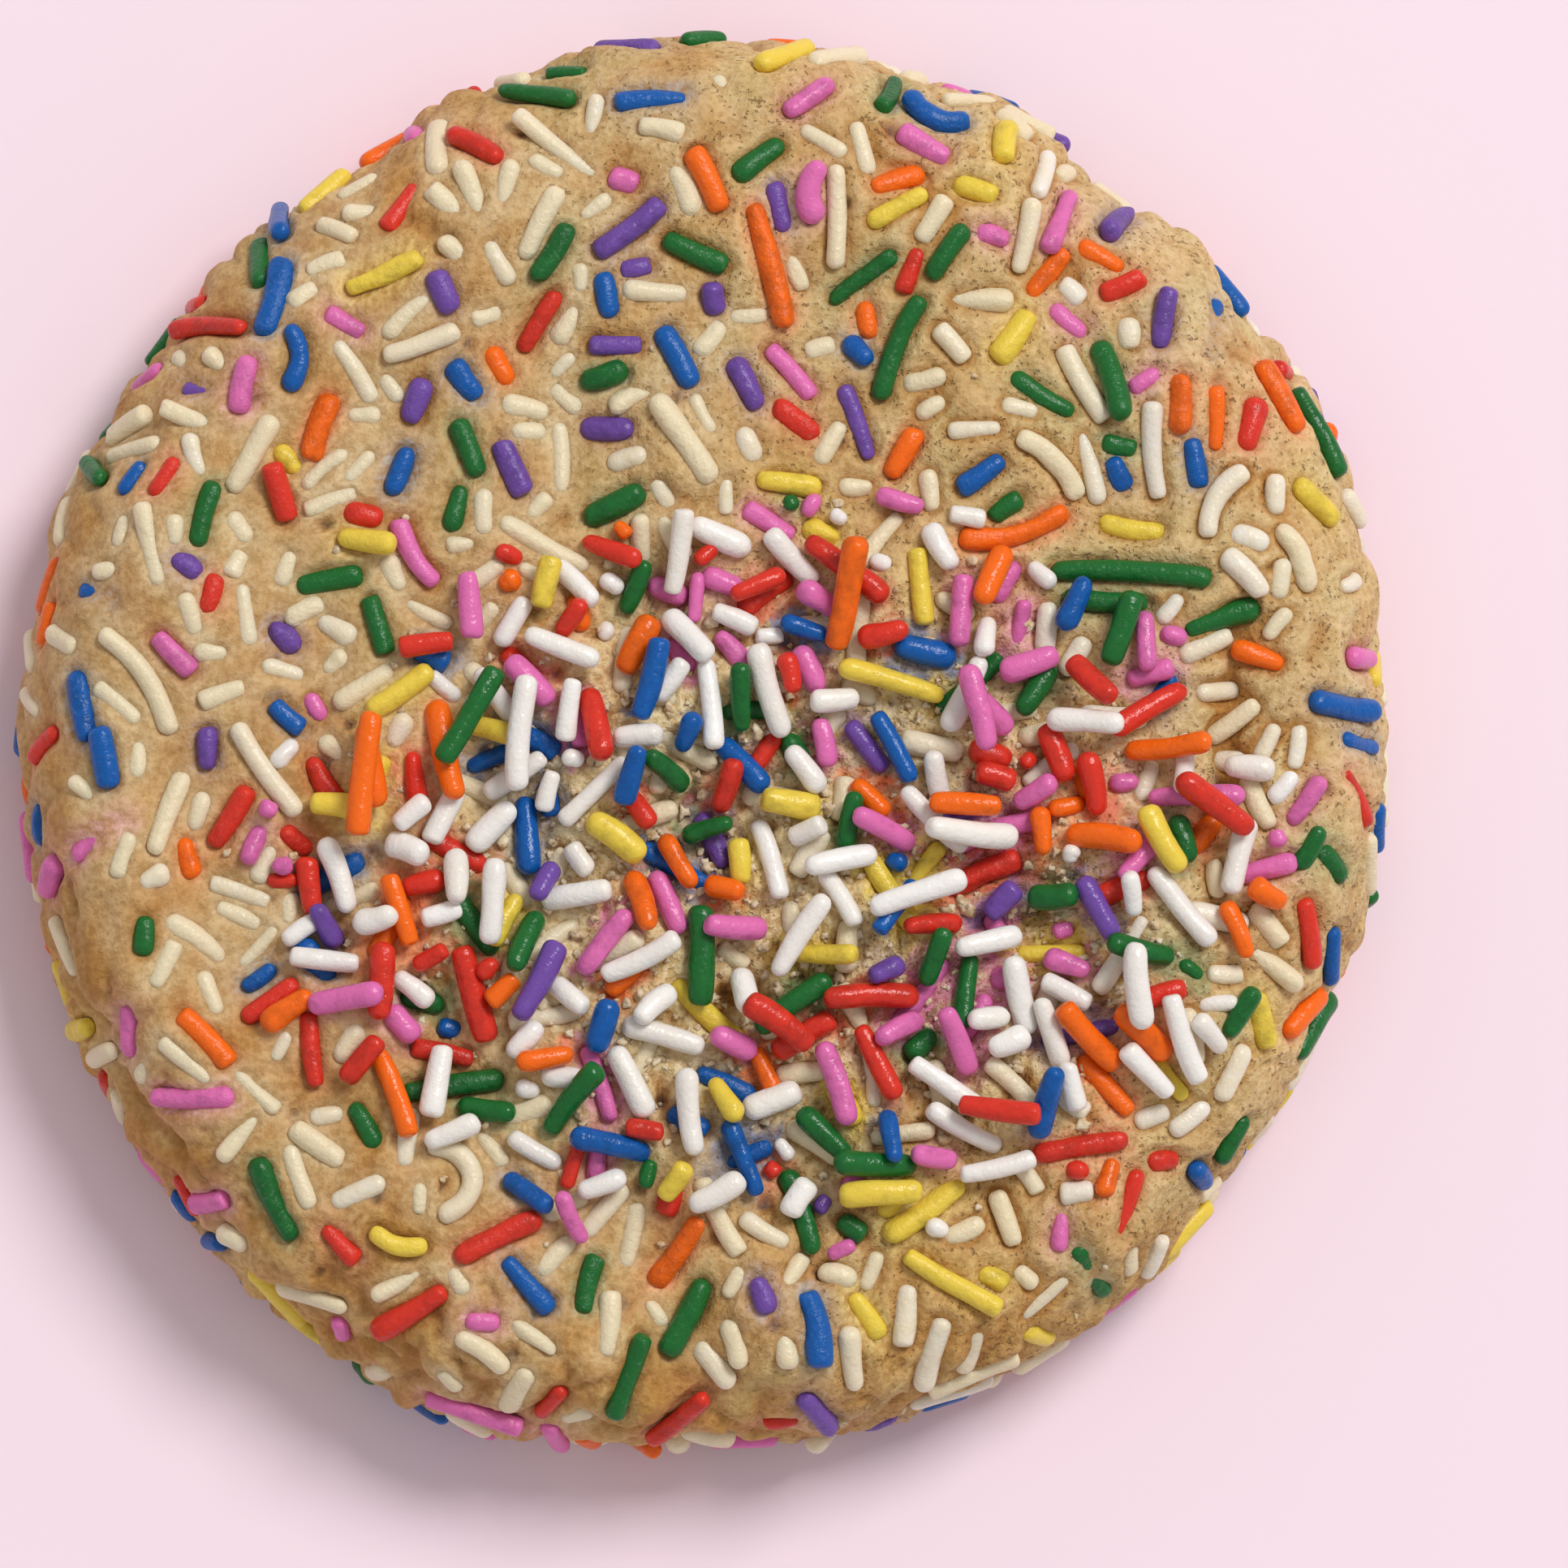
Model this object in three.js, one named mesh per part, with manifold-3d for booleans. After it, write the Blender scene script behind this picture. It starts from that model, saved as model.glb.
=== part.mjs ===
// A birthday-cake cookie: a thick, soft-baked vanilla sugar cookie about three inches across, with
// rainbow sprinkles baked into its crust all round and a loose heap of them lying on its middle.
// It is one piece of food and one solid, so the sprinkles are fused to the dough they lie on.
// Millimetres, +Z up. The cookie rests on z = 0 and the origin is under the middle of its outline.

import * as THREE from 'three';
import { mergeVertices } from 'three/addons/utils/BufferGeometryUtils.js';
import Module from 'manifold-3d';

// ---- driving dimensions of the dough ----

const RADIUS = 37.5; // mean radius of the dough, seen from above
const HEIGHT = 11.4; // of the crust along the inner edge of the shoulder
const BELLY = 4.2; // height at which the wall is widest
const SHOULDER = 5.5; // width of the rounded shoulder above the belly
const UNDERCUT = 2.4; // how far the foot of the wall turns in under the belly
const CROWN = 0.7; // how much the middle of the crust stands above the shoulder

const TURN_STEPS = 60; // facets round the dough
const SHOULDER_STEPS = 5;
const FOOT_STEPS = 3;
const CRUST_STEPS = 11; // rings between the shoulder and the middle

// Waves round the outline, which is a little longer than wide: how many go round, their height and
// the angle in degrees at which they peak.
const OUTLINE_WAVES = [
  [1, 0.3, -70],
  [2, 0.84, 140],
  [4, 0.14, -16],
  [5, 0.26, 99],
  [7, 0.12, -89],
  [8, 0.13, -126],
];
const RIM_LUMPS = { seed: 3, from: 9, to: 24, rise: 0.13 }; // finer waves round the outline
const CRUST_LUMPS = { seed: 7, count: 11, shortest: 5, longest: 14, steepness: 0.013 };
const RIDGE = { radius: 31, width: 3.2, rise: 0.35 }; // low ring just inside the shoulder

// Furrows and pits in the crust: where they run, how wide they are and how deep.
const FURROWS = [
  { path: [[-20.9, 0.8], [-21.4, -6], [-19.8, -12.4]], width: 1.5, depth: 1.0 },
  { path: [[28.9, 6.6], [28.2, 2.4], [28.0, -2.2]], width: 0.9, depth: 1.1 },
  { path: [[9.2, 31.4], [11.4, 29.8], [13.9, 29.2]], width: 1.0, depth: 0.8 },
  { path: [[-15.8, 27.4], [-14.6, 26.3]], width: 0.8, depth: 0.9 },
  { path: [[-26.1, 22.5], [-25.2, 22.2]], width: 0.7, depth: 1.0 },
  { path: [[19.3, 25.4], [19.9, 25.2]], width: 0.6, depth: 0.9 },
  { path: [[4.6, -28.6], [5.9, -28.9]], width: 0.8, depth: 1.0 },
  { path: [[-15.6, -14.2], [-14.4, -15.6]], width: 1.0, depth: 0.9 },
  { path: [[-2.4, 12.9], [-0.8, 12.6]], width: 0.8, depth: 0.7 },
];

// ---- driving dimensions of the sprinkles ----

const COLOURS = ['white', 'pink', 'red', 'orange', 'green', 'blue', 'yellow', 'purple'];
const HEAP = { x: 4, y: -7.5, halfWidth: 25, halfDepth: 18 }; // where sprinkles lie loose on top
const THIN = 0.62; // radius of the thinnest sprinkle
const THICK = 0.8; // radius of the thickest
const SHORT = 2.3; // length of the shortest
const SPARE = 4.2; // how much longer the longest is
const LOOSE_SINK = 0.16; // share of a loose sprinkle's diameter that sinks into the crust
const BAKED_SINK = { least: 0.38, most: 0.74 }; // the same for those baked in
const CREAM_SINK = 0.12; // the white ones in the left half are sunk this much more
const WALL_SINK = { least: 0.38, most: 0.78 };
const PRESS = 0.16; // how far crossing sprinkles press into each other
const STEEPEST = 0.5; // slope at which a leaning sprinkle stops
const BENT = { share: 0.25, most: 30 }; // how many of those baked in are bent, and through what angle
const HEAP_RISE = 1.5; // how far above the crust the middle of a scattered loose sprinkle may lie
const BEADS = 9; // points along a sprinkle that are tested for contact

// The sprinkles that stand out most, read from the photograph: x, y, heading in degrees, length,
// and the angle through which a bent one turns.
const LANDMARKS = {
  white: [
    [6.9, 28, 90, 6.2], [-9.2, 27.6, 65, 4.7], [-15.6, 21, 20, 4.9], [20.2, 19, -60, 5.5],
    [24, 15.4, -85, 6], [18.6, 14.8, -45, 5.4, 45], [27.5, 12.8, 60, 5.2, 60], [31.9, 9.7, -65, 4.3, 50],
    [-24.7, 15, 60, 5.1], [-30.5, 3, -55, 7.4, 45], [-29.2, -4.4, 70, 5.3], [-24, -2.1, -55, 6.4],
    [-10.3, -0.1, 85, 6.7], [-5.6, -17, 90, 5.8], [14, -5.5, -5, 5.8], [22.9, -13.7, -85, 4.9],
    [-13.2, -23.9, -80, 7, 170], [-1.4, 15.9, -55, 5.8], [17.2, 27, 78, 4.7], [20.2, 0.6, -5, 4.5],
    [-31.6, -9.9, 90, 3.8], [-21.1, -22.2, -35, 4], [-14.7, -18.8, 80, 4.6], [11.1, -8.7, 18, 5.8],
    [4.8, -11, 58, 5.5], [16, -26.1, -70, 3.7], [7.7, -33.7, -82, 4.1], [-12.1, -33.2, -35, 3.9, 30],
  ],
  pink: [
    [5.4, 34.5, 35, 3.8], [11.6, 31.9, -30, 3.8], [5.4, 29.4, 85, 3.8, 60], [19, 27.9, 68, 4.9],
    [-25.2, 18.8, 80, 3.6], [-28.9, 4.2, -45, 3.7], [35.4, 4.4, 5, 3.4], [30.1, -7.2, 15, 3.8],
    [32.3, -3.6, 55, 3.7], [-27.8, -19.7, 0, 5.2], [-16, 9.6, -60, 4.9, -35], [-32.7, -5.7, 35, 4.3],
    [14.4, 1.2, -75, 5], [1.3, -10.6, -3, 4.4], [-12.5, -36.4, -18, 6.4],
  ],
  red: [
    [-12.6, 31.9, -30, 4.1], [-9.2, 22.3, 60, 4.3], [-23.2, 13, -72, 4.1], [20.5, 2.8, -45, 4.2],
    [27.2, -3.9, -35, 5.2], [32.5, -10.6, -80, 4.6], [-16, -31.2, 30, 5.2], [-11.4, -27.2, 27, 5.4],
    [-1.5, -36.8, 38, 5.8], [15.5, -20.4, -8, 5.3], [3.7, -15.7, -35, 4.9], [-25.8, -4.6, 58, 4.3],
  ],
  orange: [
    [-0.1, 30, -65, 4.3], [3.3, 25.4, -75, 7.4], [-21.1, 16.5, 70, 4.1], [31, 18.5, -62, 4.7],
    [10.5, 15.2, 62, 3.5], [16.6, 10.9, 15, 6.6, -45], [15.2, 8.5, 65, 3.9], [24.7, -0.8, 5, 5.4],
    [-18.7, -2.4, 83, 7.4], [20.4, -16.4, -45, 5.4], [7.3, 7.4, 80, 6.7], [13.7, -3.9, -3, 4.4],
    [25.5, 17.9, 90, 3.6],
  ],
  green: [
    [-0.1, 38.2, 5, 3.4], [-9.2, 34.8, -10, 5.4], [-0.8, 26, -25, 4.4], [-8.4, 25.9, 60, 4],
    [12.8, 26.1, 55, 4], [10.1, 21, 68, 6.6, 25], [21.8, 19.2, -75, 5.1], [33.2, 16.8, -62, 6],
    [22.8, 8.8, -3, 9.1], [21.4, 7.2, -3, 5.1], [-13, 0.8, 60, 6.6], [-23.4, -25.2, -65, 5.3],
    [-4.3, -34.6, 70, 6], [-1.2, -31.5, 62, 4.9], [33, -15.3, 60, 4.9], [-5.1, 12.3, 25, 3.9],
    [-13, 15.4, -68, 3.9],
  ],
  blue: [
    [12.2, 33.6, -25, 4.7, -100], [-22.2, 20.3, 90, 4.3, -70], [-1.7, 20.4, -62, 4.1],
    [28.2, 24.5, -55, 4], [34.4, 1.6, -7, 5.3], [-33.7, 1.4, -80, 4.2], [-32.6, -1.4, -80, 3.9],
    [-22.8, 0.8, -42, 3.1], [-9.8, -24.8, -35, 3.8], [5.8, -32.1, -80, 5, 25], [26.7, -23.6, -50, 2.9],
    [-3.2, 2.8, 75, 5.3], [-4.3, -2.4, 75, 4],
  ],
  yellow: [
    [4.3, 37, 25, 5.1], [-17.6, 24.8, 25, 5.1], [16.5, 21.6, 55, 3.9], [-18.5, 10.3, -8, 3.8],
    [24.3, -5.8, -62, 4.4], [29.9, -15.3, -75, 3.7], [-16.8, -27.6, -15, 3.9, -50],
    [11.7, -25.7, 35, 5.5], [13.1, -29.6, -30, 6.8], [16, 32.2, 80, 3.4],
  ],
  purple: [
    [-4.3, 27.3, 38, 5.3], [-14.4, 23.8, -65, 2.9], [-15.8, 17.9, 70, 2.9], [-10.7, 14.3, -68, 3.8],
    [2, 18.9, -62, 3.5], [24.6, 22.6, 80, 4.2], [-9.2, -13.5, 62, 5.3], [5.1, -7.5, 30, 4.2],
    [2.8, -30.3, -70, 2.5],
  ],
};
const LANDMARK_RADIUS = 0.75;
const LANDMARK_SINK = 0.42; // of those outside the heap

// The rest are scattered by rule. Shares are in the order of COLOURS.
const BAKED_IN = { seed: 11, count: 235, tries: 9000, shares: [46, 9, 8, 8, 9, 7, 7, 4] };
const LOOSE = { seed: 29, count: 128, tries: 9000, shares: [40, 13, 14, 9, 9, 9, 4, 4] };
const ON_WALL = { seed: 47, count: 150, tries: 6000, shares: [40, 12, 12, 9, 10, 8, 6, 3] };
const WALL_REACH = { low: -52, high: 36 }; // degrees below and above the belly, along the wall's curve
const FLOOR_MARGIN = 0.15; // sprinkles on the wall end this far above the surface it rests on
const RIM_MARGIN = 1.2; // scattered sprinkles keep this far inside the outline
const UNDER_HEAP = 0.65; // share of those baked in that are kept under the heap
const NEAREST = { bakedIn: 0.95, onWall: 0.9, loose: 0.5 }; // gap between two, by their radii together
const SLOPING = 0.75; // share of the shoulder's width that is too steep to lie on

// Sprinkles that belong to the form: how many of each sort, the largest first, and how far apart.
const SHOWN = {
  loose: { count: 44, apart: 0 },
  bakedIn: { count: 75, apart: 4.4 },
  onWall: { count: 37, apart: 4.4 },
};
const ROD_SIDES = 5;
const ROD_TIP = 0.45; // length of a sprinkle's blunt tip, in radii
const ROD_FULLNESS = 1.15; // widens a five-sided rod to the bulk of a round one
const BENT_STEPS = 3; // stretches along a bent sprinkle
const WELD = 0.02; // edges left by the joining that are shorter than this are closed up

// ---- small helpers ----

const degrees = (angle) => (angle * Math.PI) / 180;

// The same draws every time: a linear congruential stream.
function stream(seed) {
  let state = seed;
  return (low = 0, high = 1) => {
    state = (Math.imul(state, 1664525) + 1013904223) >>> 0;
    return low + ((high - low) * state) / 4294967296;
  };
}

function pickColour(draw, shares) {
  let left = draw(0, shares.reduce((sum, share) => sum + share));
  for (let i = 0; i < shares.length; i += 1) {
    left -= shares[i];
    if (left < 0) return COLOURS[i];
  }
  return COLOURS[0];
}

// ---- the dough's form ----

const rimLumps = (() => {
  const draw = stream(RIM_LUMPS.seed);
  const waves = [];
  for (let round = RIM_LUMPS.from; round <= RIM_LUMPS.to; round += 1) {
    waves.push([round, RIM_LUMPS.rise * draw(), draw(0, 360)]);
  }
  return waves;
})();

const crustLumps = (() => {
  const draw = stream(CRUST_LUMPS.seed);
  const waves = [];
  for (let i = 0; i < CRUST_LUMPS.count; i += 1) {
    const length = draw(CRUST_LUMPS.shortest, CRUST_LUMPS.longest);
    waves.push({ length, heading: draw(0, 2 * Math.PI), start: draw(0, 2 * Math.PI) });
  }
  return waves;
})();

// Distance from the axis to the outline in the direction `angle`.
function outline(angle) {
  let reach = RADIUS;
  for (const [round, rise, peak] of [...OUTLINE_WAVES, ...rimLumps]) {
    reach += rise * Math.cos(round * angle - degrees(peak));
  }
  return reach;
}

function distanceToPath(x, y, path) {
  let nearest = Infinity;
  for (let i = 1; i < path.length; i += 1) {
    const [ax, ay] = path[i - 1];
    const [bx, by] = path[i];
    const along = ((x - ax) * (bx - ax) + (y - ay) * (by - ay)) / ((bx - ax) ** 2 + (by - ay) ** 2);
    const share = Math.min(1, Math.max(0, along));
    nearest = Math.min(nearest, Math.hypot(x - ax - share * (bx - ax), y - ay - share * (by - ay)));
  }
  return nearest;
}

// Lumps, furrows, the low ring and the crown, above a level crust.
function swell(x, y) {
  const radius = Math.hypot(x, y);
  let rise = CROWN * (1 - (radius / RADIUS) ** 2);
  rise += RIDGE.rise * Math.exp(-(((radius - RIDGE.radius) / RIDGE.width) ** 2));
  for (const { length, heading, start } of crustLumps) {
    const along = x * Math.cos(heading) + y * Math.sin(heading);
    rise += CRUST_LUMPS.steepness * length * Math.sin((2 * Math.PI * along) / length + start);
  }
  for (const { path, width, depth } of FURROWS) {
    rise -= depth * Math.exp(-((distanceToPath(x, y, path) / width) ** 2));
  }
  return rise;
}

// Height of the dough's upper surface, from the belly inwards.
function crust(x, y) {
  const inset = outline(Math.atan2(y, x)) - Math.hypot(x, y);
  const level = HEIGHT + swell(x, y) - BELLY;
  if (inset >= SHOULDER) return BELLY + level;
  const out = 1 - Math.max(inset, 0) / SHOULDER;
  return BELLY + level * Math.sqrt(1 - out * out);
}

// A lathe turned from the half section, whose rings then follow the outline and the crust.
function doughGeometry() {
  const section = [[0, 0]];
  section.push([(RADIUS - UNDERCUT) / 2, 0]);
  for (let i = 0; i <= FOOT_STEPS; i += 1) {
    const angle = ((i / FOOT_STEPS - 1) * Math.PI) / 2;
    section.push([RADIUS - UNDERCUT * (1 - Math.cos(angle)), BELLY * (1 + Math.sin(angle))]);
  }
  for (let i = 1; i <= SHOULDER_STEPS; i += 1) {
    const angle = ((i / SHOULDER_STEPS) * Math.PI) / 2;
    section.push([RADIUS - SHOULDER * (1 - Math.cos(angle)), HEIGHT]);
  }
  for (let i = 1; i <= CRUST_STEPS; i += 1) {
    section.push([(RADIUS - SHOULDER) * (1 - i / CRUST_STEPS), HEIGHT]);
  }
  const geometry = new THREE.LatheGeometry(section.map(([r, z]) => new THREE.Vector2(r, z)), TURN_STEPS);
  geometry.rotateX(Math.PI / 2);
  const at = geometry.attributes.position;
  for (let i = 0; i < at.count; i += 1) {
    const angle = Math.atan2(at.getY(i), at.getX(i));
    const reach = (Math.hypot(at.getX(i), at.getY(i)) * outline(angle)) / RADIUS;
    const x = reach * Math.cos(angle);
    const y = reach * Math.sin(angle);
    const onCrust = at.getZ(i) > BELLY + 1e-6;
    at.setXYZ(i, x, y, onCrust ? crust(x, y) : Math.max(0, at.getZ(i)));
  }
  return geometry;
}

// ---- the sprinkles' places ----

// A point of a sprinkle's bent middle line, `share` from -1 to 1 along it: forward and sideways.
function middleLine(rod, share) {
  const half = rod.length / 2 - rod.radius;
  const bend = degrees(rod.bend);
  if (bend === 0) return [share * half, 0];
  const curve = (2 * half) / bend;
  return [curve * Math.sin((share * bend) / 2), curve * (Math.cos((share * bend) / 2) - Math.cos(bend / 4))];
}

function beadsOnCrust(rod) {
  const beads = [];
  for (let i = 0; i < BEADS; i += 1) {
    const [ahead, aside] = middleLine(rod, (2 * i) / (BEADS - 1) - 1);
    const x = rod.x + ahead * Math.cos(rod.turn) - aside * Math.sin(rod.turn);
    const y = rod.y + ahead * Math.sin(rod.turn) + aside * Math.cos(rod.turn);
    beads.push([x, y, crust(x, y), ahead]);
  }
  return beads;
}

function neighbours(rod, rods) {
  return rods.filter((other) => {
    const apart = Math.hypot(rod.x - other.x, rod.y - other.y, (rod.z ?? other.z) - other.z);
    return apart < (rod.length + other.length) / 2;
  });
}

function meets(rod, rods, share) {
  return neighbours(rod, rods).some((other) => {
    const limit = share * (rod.radius + other.radius);
    const touches = (a, b) => Math.hypot(a[0] - b[0], a[1] - b[1], a[2] - b[2]) < limit;
    return other.beads.some((b) => rod.beads.some((a) => touches(a, b)));
  });
}

// Lays a sprinkle down: it rests on the two points, one each side of its middle, that hold it highest,
// and it is left out where that is more than `highest` above the crust.
function settle(rod, rods, highest = 2 * HEAP_RISE) {
  const near = neighbours(rod, rods);
  const contacts = rod.beads.map(([x, y, z, ahead]) => {
    const contact = { ahead, height: z + rod.radius * (1 - 2 * rod.sink), holder: null };
    for (const other of near) {
      const reach = rod.radius + other.radius;
      for (const [ox, oy, oz] of other.beads) {
        const apart = Math.hypot(x - ox, y - oy);
        if (apart >= reach) continue;
        const height = oz + Math.sqrt(reach * reach - apart * apart) - PRESS;
        if (height > contact.height) Object.assign(contact, { height, holder: other });
      }
    }
    return contact;
  });
  const middle = (BEADS - 1) / 2;
  let { height } = contacts[middle];
  let slope = 0;
  let holders = [contacts[middle].holder];
  for (const back of contacts.slice(0, middle)) {
    for (const front of contacts.slice(middle + 1)) {
      const incline = (front.height - back.height) / (front.ahead - back.ahead);
      const held = back.height - incline * back.ahead;
      if (held > height) {
        height = held;
        slope = incline;
        holders = [back.holder, front.holder];
      }
    }
  }
  if (height > crust(rod.x, rod.y) + highest) return;
  slope = Math.max(-STEEPEST, Math.min(STEEPEST, slope));
  rod.z = height;
  rod.holders = holders.filter((holder) => holder !== null);
  rod.forward = new THREE.Vector3(Math.cos(rod.turn), Math.sin(rod.turn), slope).normalize();
  rod.side = new THREE.Vector3(-Math.sin(rod.turn), Math.cos(rod.turn), 0);
  rod.beads = rod.beads.map(([x, y, , ahead]) => [x, y, height + slope * ahead]);
  rods.push(rod);
}

// How far above level the wall faces, at the angle `climb` along its curve from the belly.
function wallLean(climb) {
  const [across, rise] = climb < 0 ? [UNDERCUT, BELLY] : [SHOULDER, HEIGHT - BELLY];
  return Math.atan2(Math.sin(climb) / rise, Math.cos(climb) / across);
}

// Sets a sprinkle into the wall or the shoulder, lying in its surface at a slant to the level.
function setInWall(rod, angle, climb, slant) {
  const [across, rise] = climb < 0 ? [UNDERCUT, BELLY] : [SHOULDER, HEIGHT - BELLY];
  const lean = wallLean(climb);
  const lift = rod.radius * (1 - 2 * rod.sink);
  const reach = outline(angle) - across * (1 - Math.cos(climb)) + lift * Math.cos(lean);
  rod.x = reach * Math.cos(angle);
  rod.y = reach * Math.sin(angle);
  rod.z = BELLY + rise * Math.sin(climb) + lift * Math.sin(lean);
  rod.holders = [];
  const outward = new THREE.Vector3(Math.cos(angle), Math.sin(angle), 0);
  const up = outward.multiplyScalar(Math.cos(lean)).setZ(Math.sin(lean));
  const level = new THREE.Vector3(-Math.sin(angle), Math.cos(angle), 0);
  const climbing = up.clone().cross(level);
  rod.forward = level.multiplyScalar(Math.cos(slant)).addScaledVector(climbing, Math.sin(slant));
  rod.side = up.clone().cross(rod.forward);
  rod.beads = [];
  for (let i = 0; i < BEADS; i += 1) {
    const [ahead, aside] = middleLine(rod, (2 * i) / (BEADS - 1) - 1);
    const bead = new THREE.Vector3(rod.x, rod.y, rod.z);
    rod.beads.push(bead.addScaledVector(rod.forward, ahead).addScaledVector(rod.side, aside).toArray());
  }
}

// A sprinkle on the steep part of the shoulder is set into it, with the heading it has from above.
function setOnShoulder(rod) {
  const angle = Math.atan2(rod.y, rod.x);
  const inset = outline(angle) - Math.hypot(rod.x, rod.y);
  if (inset > SLOPING * SHOULDER) return false;
  const climb = Math.acos(1 - Math.max(inset, 0.02 * SHOULDER) / SHOULDER);
  const outward = Math.cos(rod.turn - angle);
  setInWall(rod, angle, climb, Math.atan2(-outward / Math.sin(wallLean(climb)), Math.sin(rod.turn - angle)));
  return true;
}

function inHeap(x, y) {
  return Math.hypot((x - HEAP.x) / HEAP.halfWidth, (y - HEAP.y) / HEAP.halfDepth) < 1;
}

function landmarks(loose) {
  const found = [];
  for (const colour of Object.keys(LANDMARKS)) {
    for (const [x, y, heading, length, bend = 0] of LANDMARKS[colour]) {
      const sink = inHeap(x, y) ? LOOSE_SINK : LANDMARK_SINK;
      const rod = { colour, x, y, turn: degrees(heading), length, bend, radius: LANDMARK_RADIUS, sink };
      if (inHeap(x, y) === loose) found.push(rod);
    }
  }
  return found;
}

function drawLength(draw) {
  return SHORT + SPARE * draw() * (0.45 + 0.55 * draw());
}

function scatterBakedIn(rods) {
  const draw = stream(BAKED_IN.seed);
  const wanted = rods.length + BAKED_IN.count;
  for (let i = 0; i < BAKED_IN.tries && rods.length < wanted; i += 1) {
    const x = draw(-RADIUS, RADIUS);
    const y = draw(-RADIUS, RADIUS);
    const turn = draw(0, Math.PI);
    const length = drawLength(draw);
    const radius = draw(THIN, THICK);
    const bend = draw() < BENT.share ? draw(-BENT.most, BENT.most) : 0;
    const colour = pickColour(draw, BAKED_IN.shares);
    const creamy = colour === 'white' && x < 0;
    const sink = draw(BAKED_SINK.least, BAKED_SINK.most) + (creamy ? CREAM_SINK : 0);
    const kept = draw() < (inHeap(x, y) ? UNDER_HEAP : 1);
    if (!kept || Math.hypot(x, y) > outline(Math.atan2(y, x)) - RIM_MARGIN) continue;
    const rod = { colour, x, y, turn, length, bend, radius, sink };
    if (setOnShoulder(rod)) {
      if (!meets(rod, rods, NEAREST.onWall)) rods.push(rod);
    } else {
      rod.beads = beadsOnCrust(rod);
      if (!meets(rod, rods, NEAREST.bakedIn)) settle(rod, rods);
    }
  }
}

function scatterLoose(rods) {
  const draw = stream(LOOSE.seed);
  const wanted = rods.length + LOOSE.count;
  const first = rods.length;
  for (let i = 0; i < LOOSE.tries && rods.length < wanted; i += 1) {
    const angle = draw(0, 2 * Math.PI);
    const out = Math.sqrt(draw()) * (0.75 + 0.35 * draw());
    const x = HEAP.x + HEAP.halfWidth * out * Math.cos(angle);
    const y = HEAP.y + HEAP.halfDepth * out * Math.sin(angle);
    const turn = draw(0, Math.PI);
    const length = drawLength(draw) + 0.3;
    const radius = draw(THIN, THICK);
    const colour = pickColour(draw, LOOSE.shares);
    const rod = { colour, x, y, turn, length, bend: 0, radius, sink: LOOSE_SINK };
    rod.beads = beadsOnCrust(rod);
    if (!meets(rod, rods.slice(first), NEAREST.loose)) settle(rod, rods, HEAP_RISE);
  }
}

// Sprinkles on the wall lie in its surface, at any slant.
function scatterOnWall(rods) {
  const draw = stream(ON_WALL.seed);
  const wall = [];
  for (let i = 0; i < ON_WALL.tries && wall.length < ON_WALL.count; i += 1) {
    const angle = draw(0, 2 * Math.PI);
    const climb = degrees(draw(WALL_REACH.low, WALL_REACH.high));
    const slant = draw(0, Math.PI);
    const length = drawLength(draw);
    const radius = draw(THIN, THICK);
    const colour = pickColour(draw, ON_WALL.shares);
    const sink = draw(WALL_SINK.least, WALL_SINK.most);
    const rod = { colour, length, bend: 0, radius, sink };
    setInWall(rod, angle, climb, slant);
    const lowest = Math.min(...rod.beads.map((bead) => bead[2])) - radius;
    if (lowest > FLOOR_MARGIN && !meets(rod, [...rods, ...wall], NEAREST.onWall)) wall.push(rod);
  }
  return wall;
}

function layAll() {
  const bakedIn = [];
  for (const rod of landmarks(false)) {
    if (setOnShoulder(rod)) {
      bakedIn.push(rod);
    } else {
      rod.beads = beadsOnCrust(rod);
      settle(rod, bakedIn);
    }
  }
  scatterBakedIn(bakedIn);
  const all = [...bakedIn];
  scatterLoose(all);
  for (const rod of landmarks(true)) {
    rod.beads = beadsOnCrust(rod);
    settle(rod, all);
  }
  return { bakedIn, loose: all.slice(bakedIn.length), onWall: scatterOnWall(bakedIn) };
}

// ---- the sprinkles' form ----

// A five-sided rod with blunt tips, bent along its middle line and stood in its place.
function rodGeometry(rod) {
  const half = rod.length / 2;
  const tip = ROD_TIP * rod.radius;
  const girth = rod.radius * ROD_FULLNESS;
  const steps = rod.bend === 0 ? 1 : BENT_STEPS;
  const section = [new THREE.Vector2(0, -half)];
  for (let i = 0; i <= steps; i += 1) {
    section.push(new THREE.Vector2(girth, (half - tip) * ((2 * i) / steps - 1)));
  }
  section.push(new THREE.Vector2(0, half));
  const geometry = new THREE.LatheGeometry(section, ROD_SIDES);
  const down = rod.side.clone().cross(rod.forward);
  const at = geometry.attributes.position;
  const point = new THREE.Vector3();
  for (let i = 0; i < at.count; i += 1) {
    const share = at.getY(i) / (half - rod.radius);
    const [ahead, aside] = middleLine(rod, share);
    const turn = (share * degrees(rod.bend)) / 2;
    const across = at.getX(i);
    point.set(rod.x, rod.y, rod.z);
    point.addScaledVector(rod.forward, ahead + across * Math.sin(turn));
    point.addScaledVector(rod.side, aside + across * Math.cos(turn));
    point.addScaledVector(down, at.getZ(i));
    at.setXYZ(i, point.x, point.y, point.z);
  }
  return geometry;
}

// ---- joining ----

const wasm = await Module();
wasm.setup();

function toSolid(geometry) {
  geometry.deleteAttribute('normal');
  geometry.deleteAttribute('uv');
  const merged = mergeVertices(geometry, 1e-4);
  const vertProperties = new Float32Array(merged.attributes.position.array);
  const triVerts = new Uint32Array(merged.index.array);
  return new wasm.Manifold(new wasm.Mesh({ numProp: 3, vertProperties, triVerts }));
}

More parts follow.
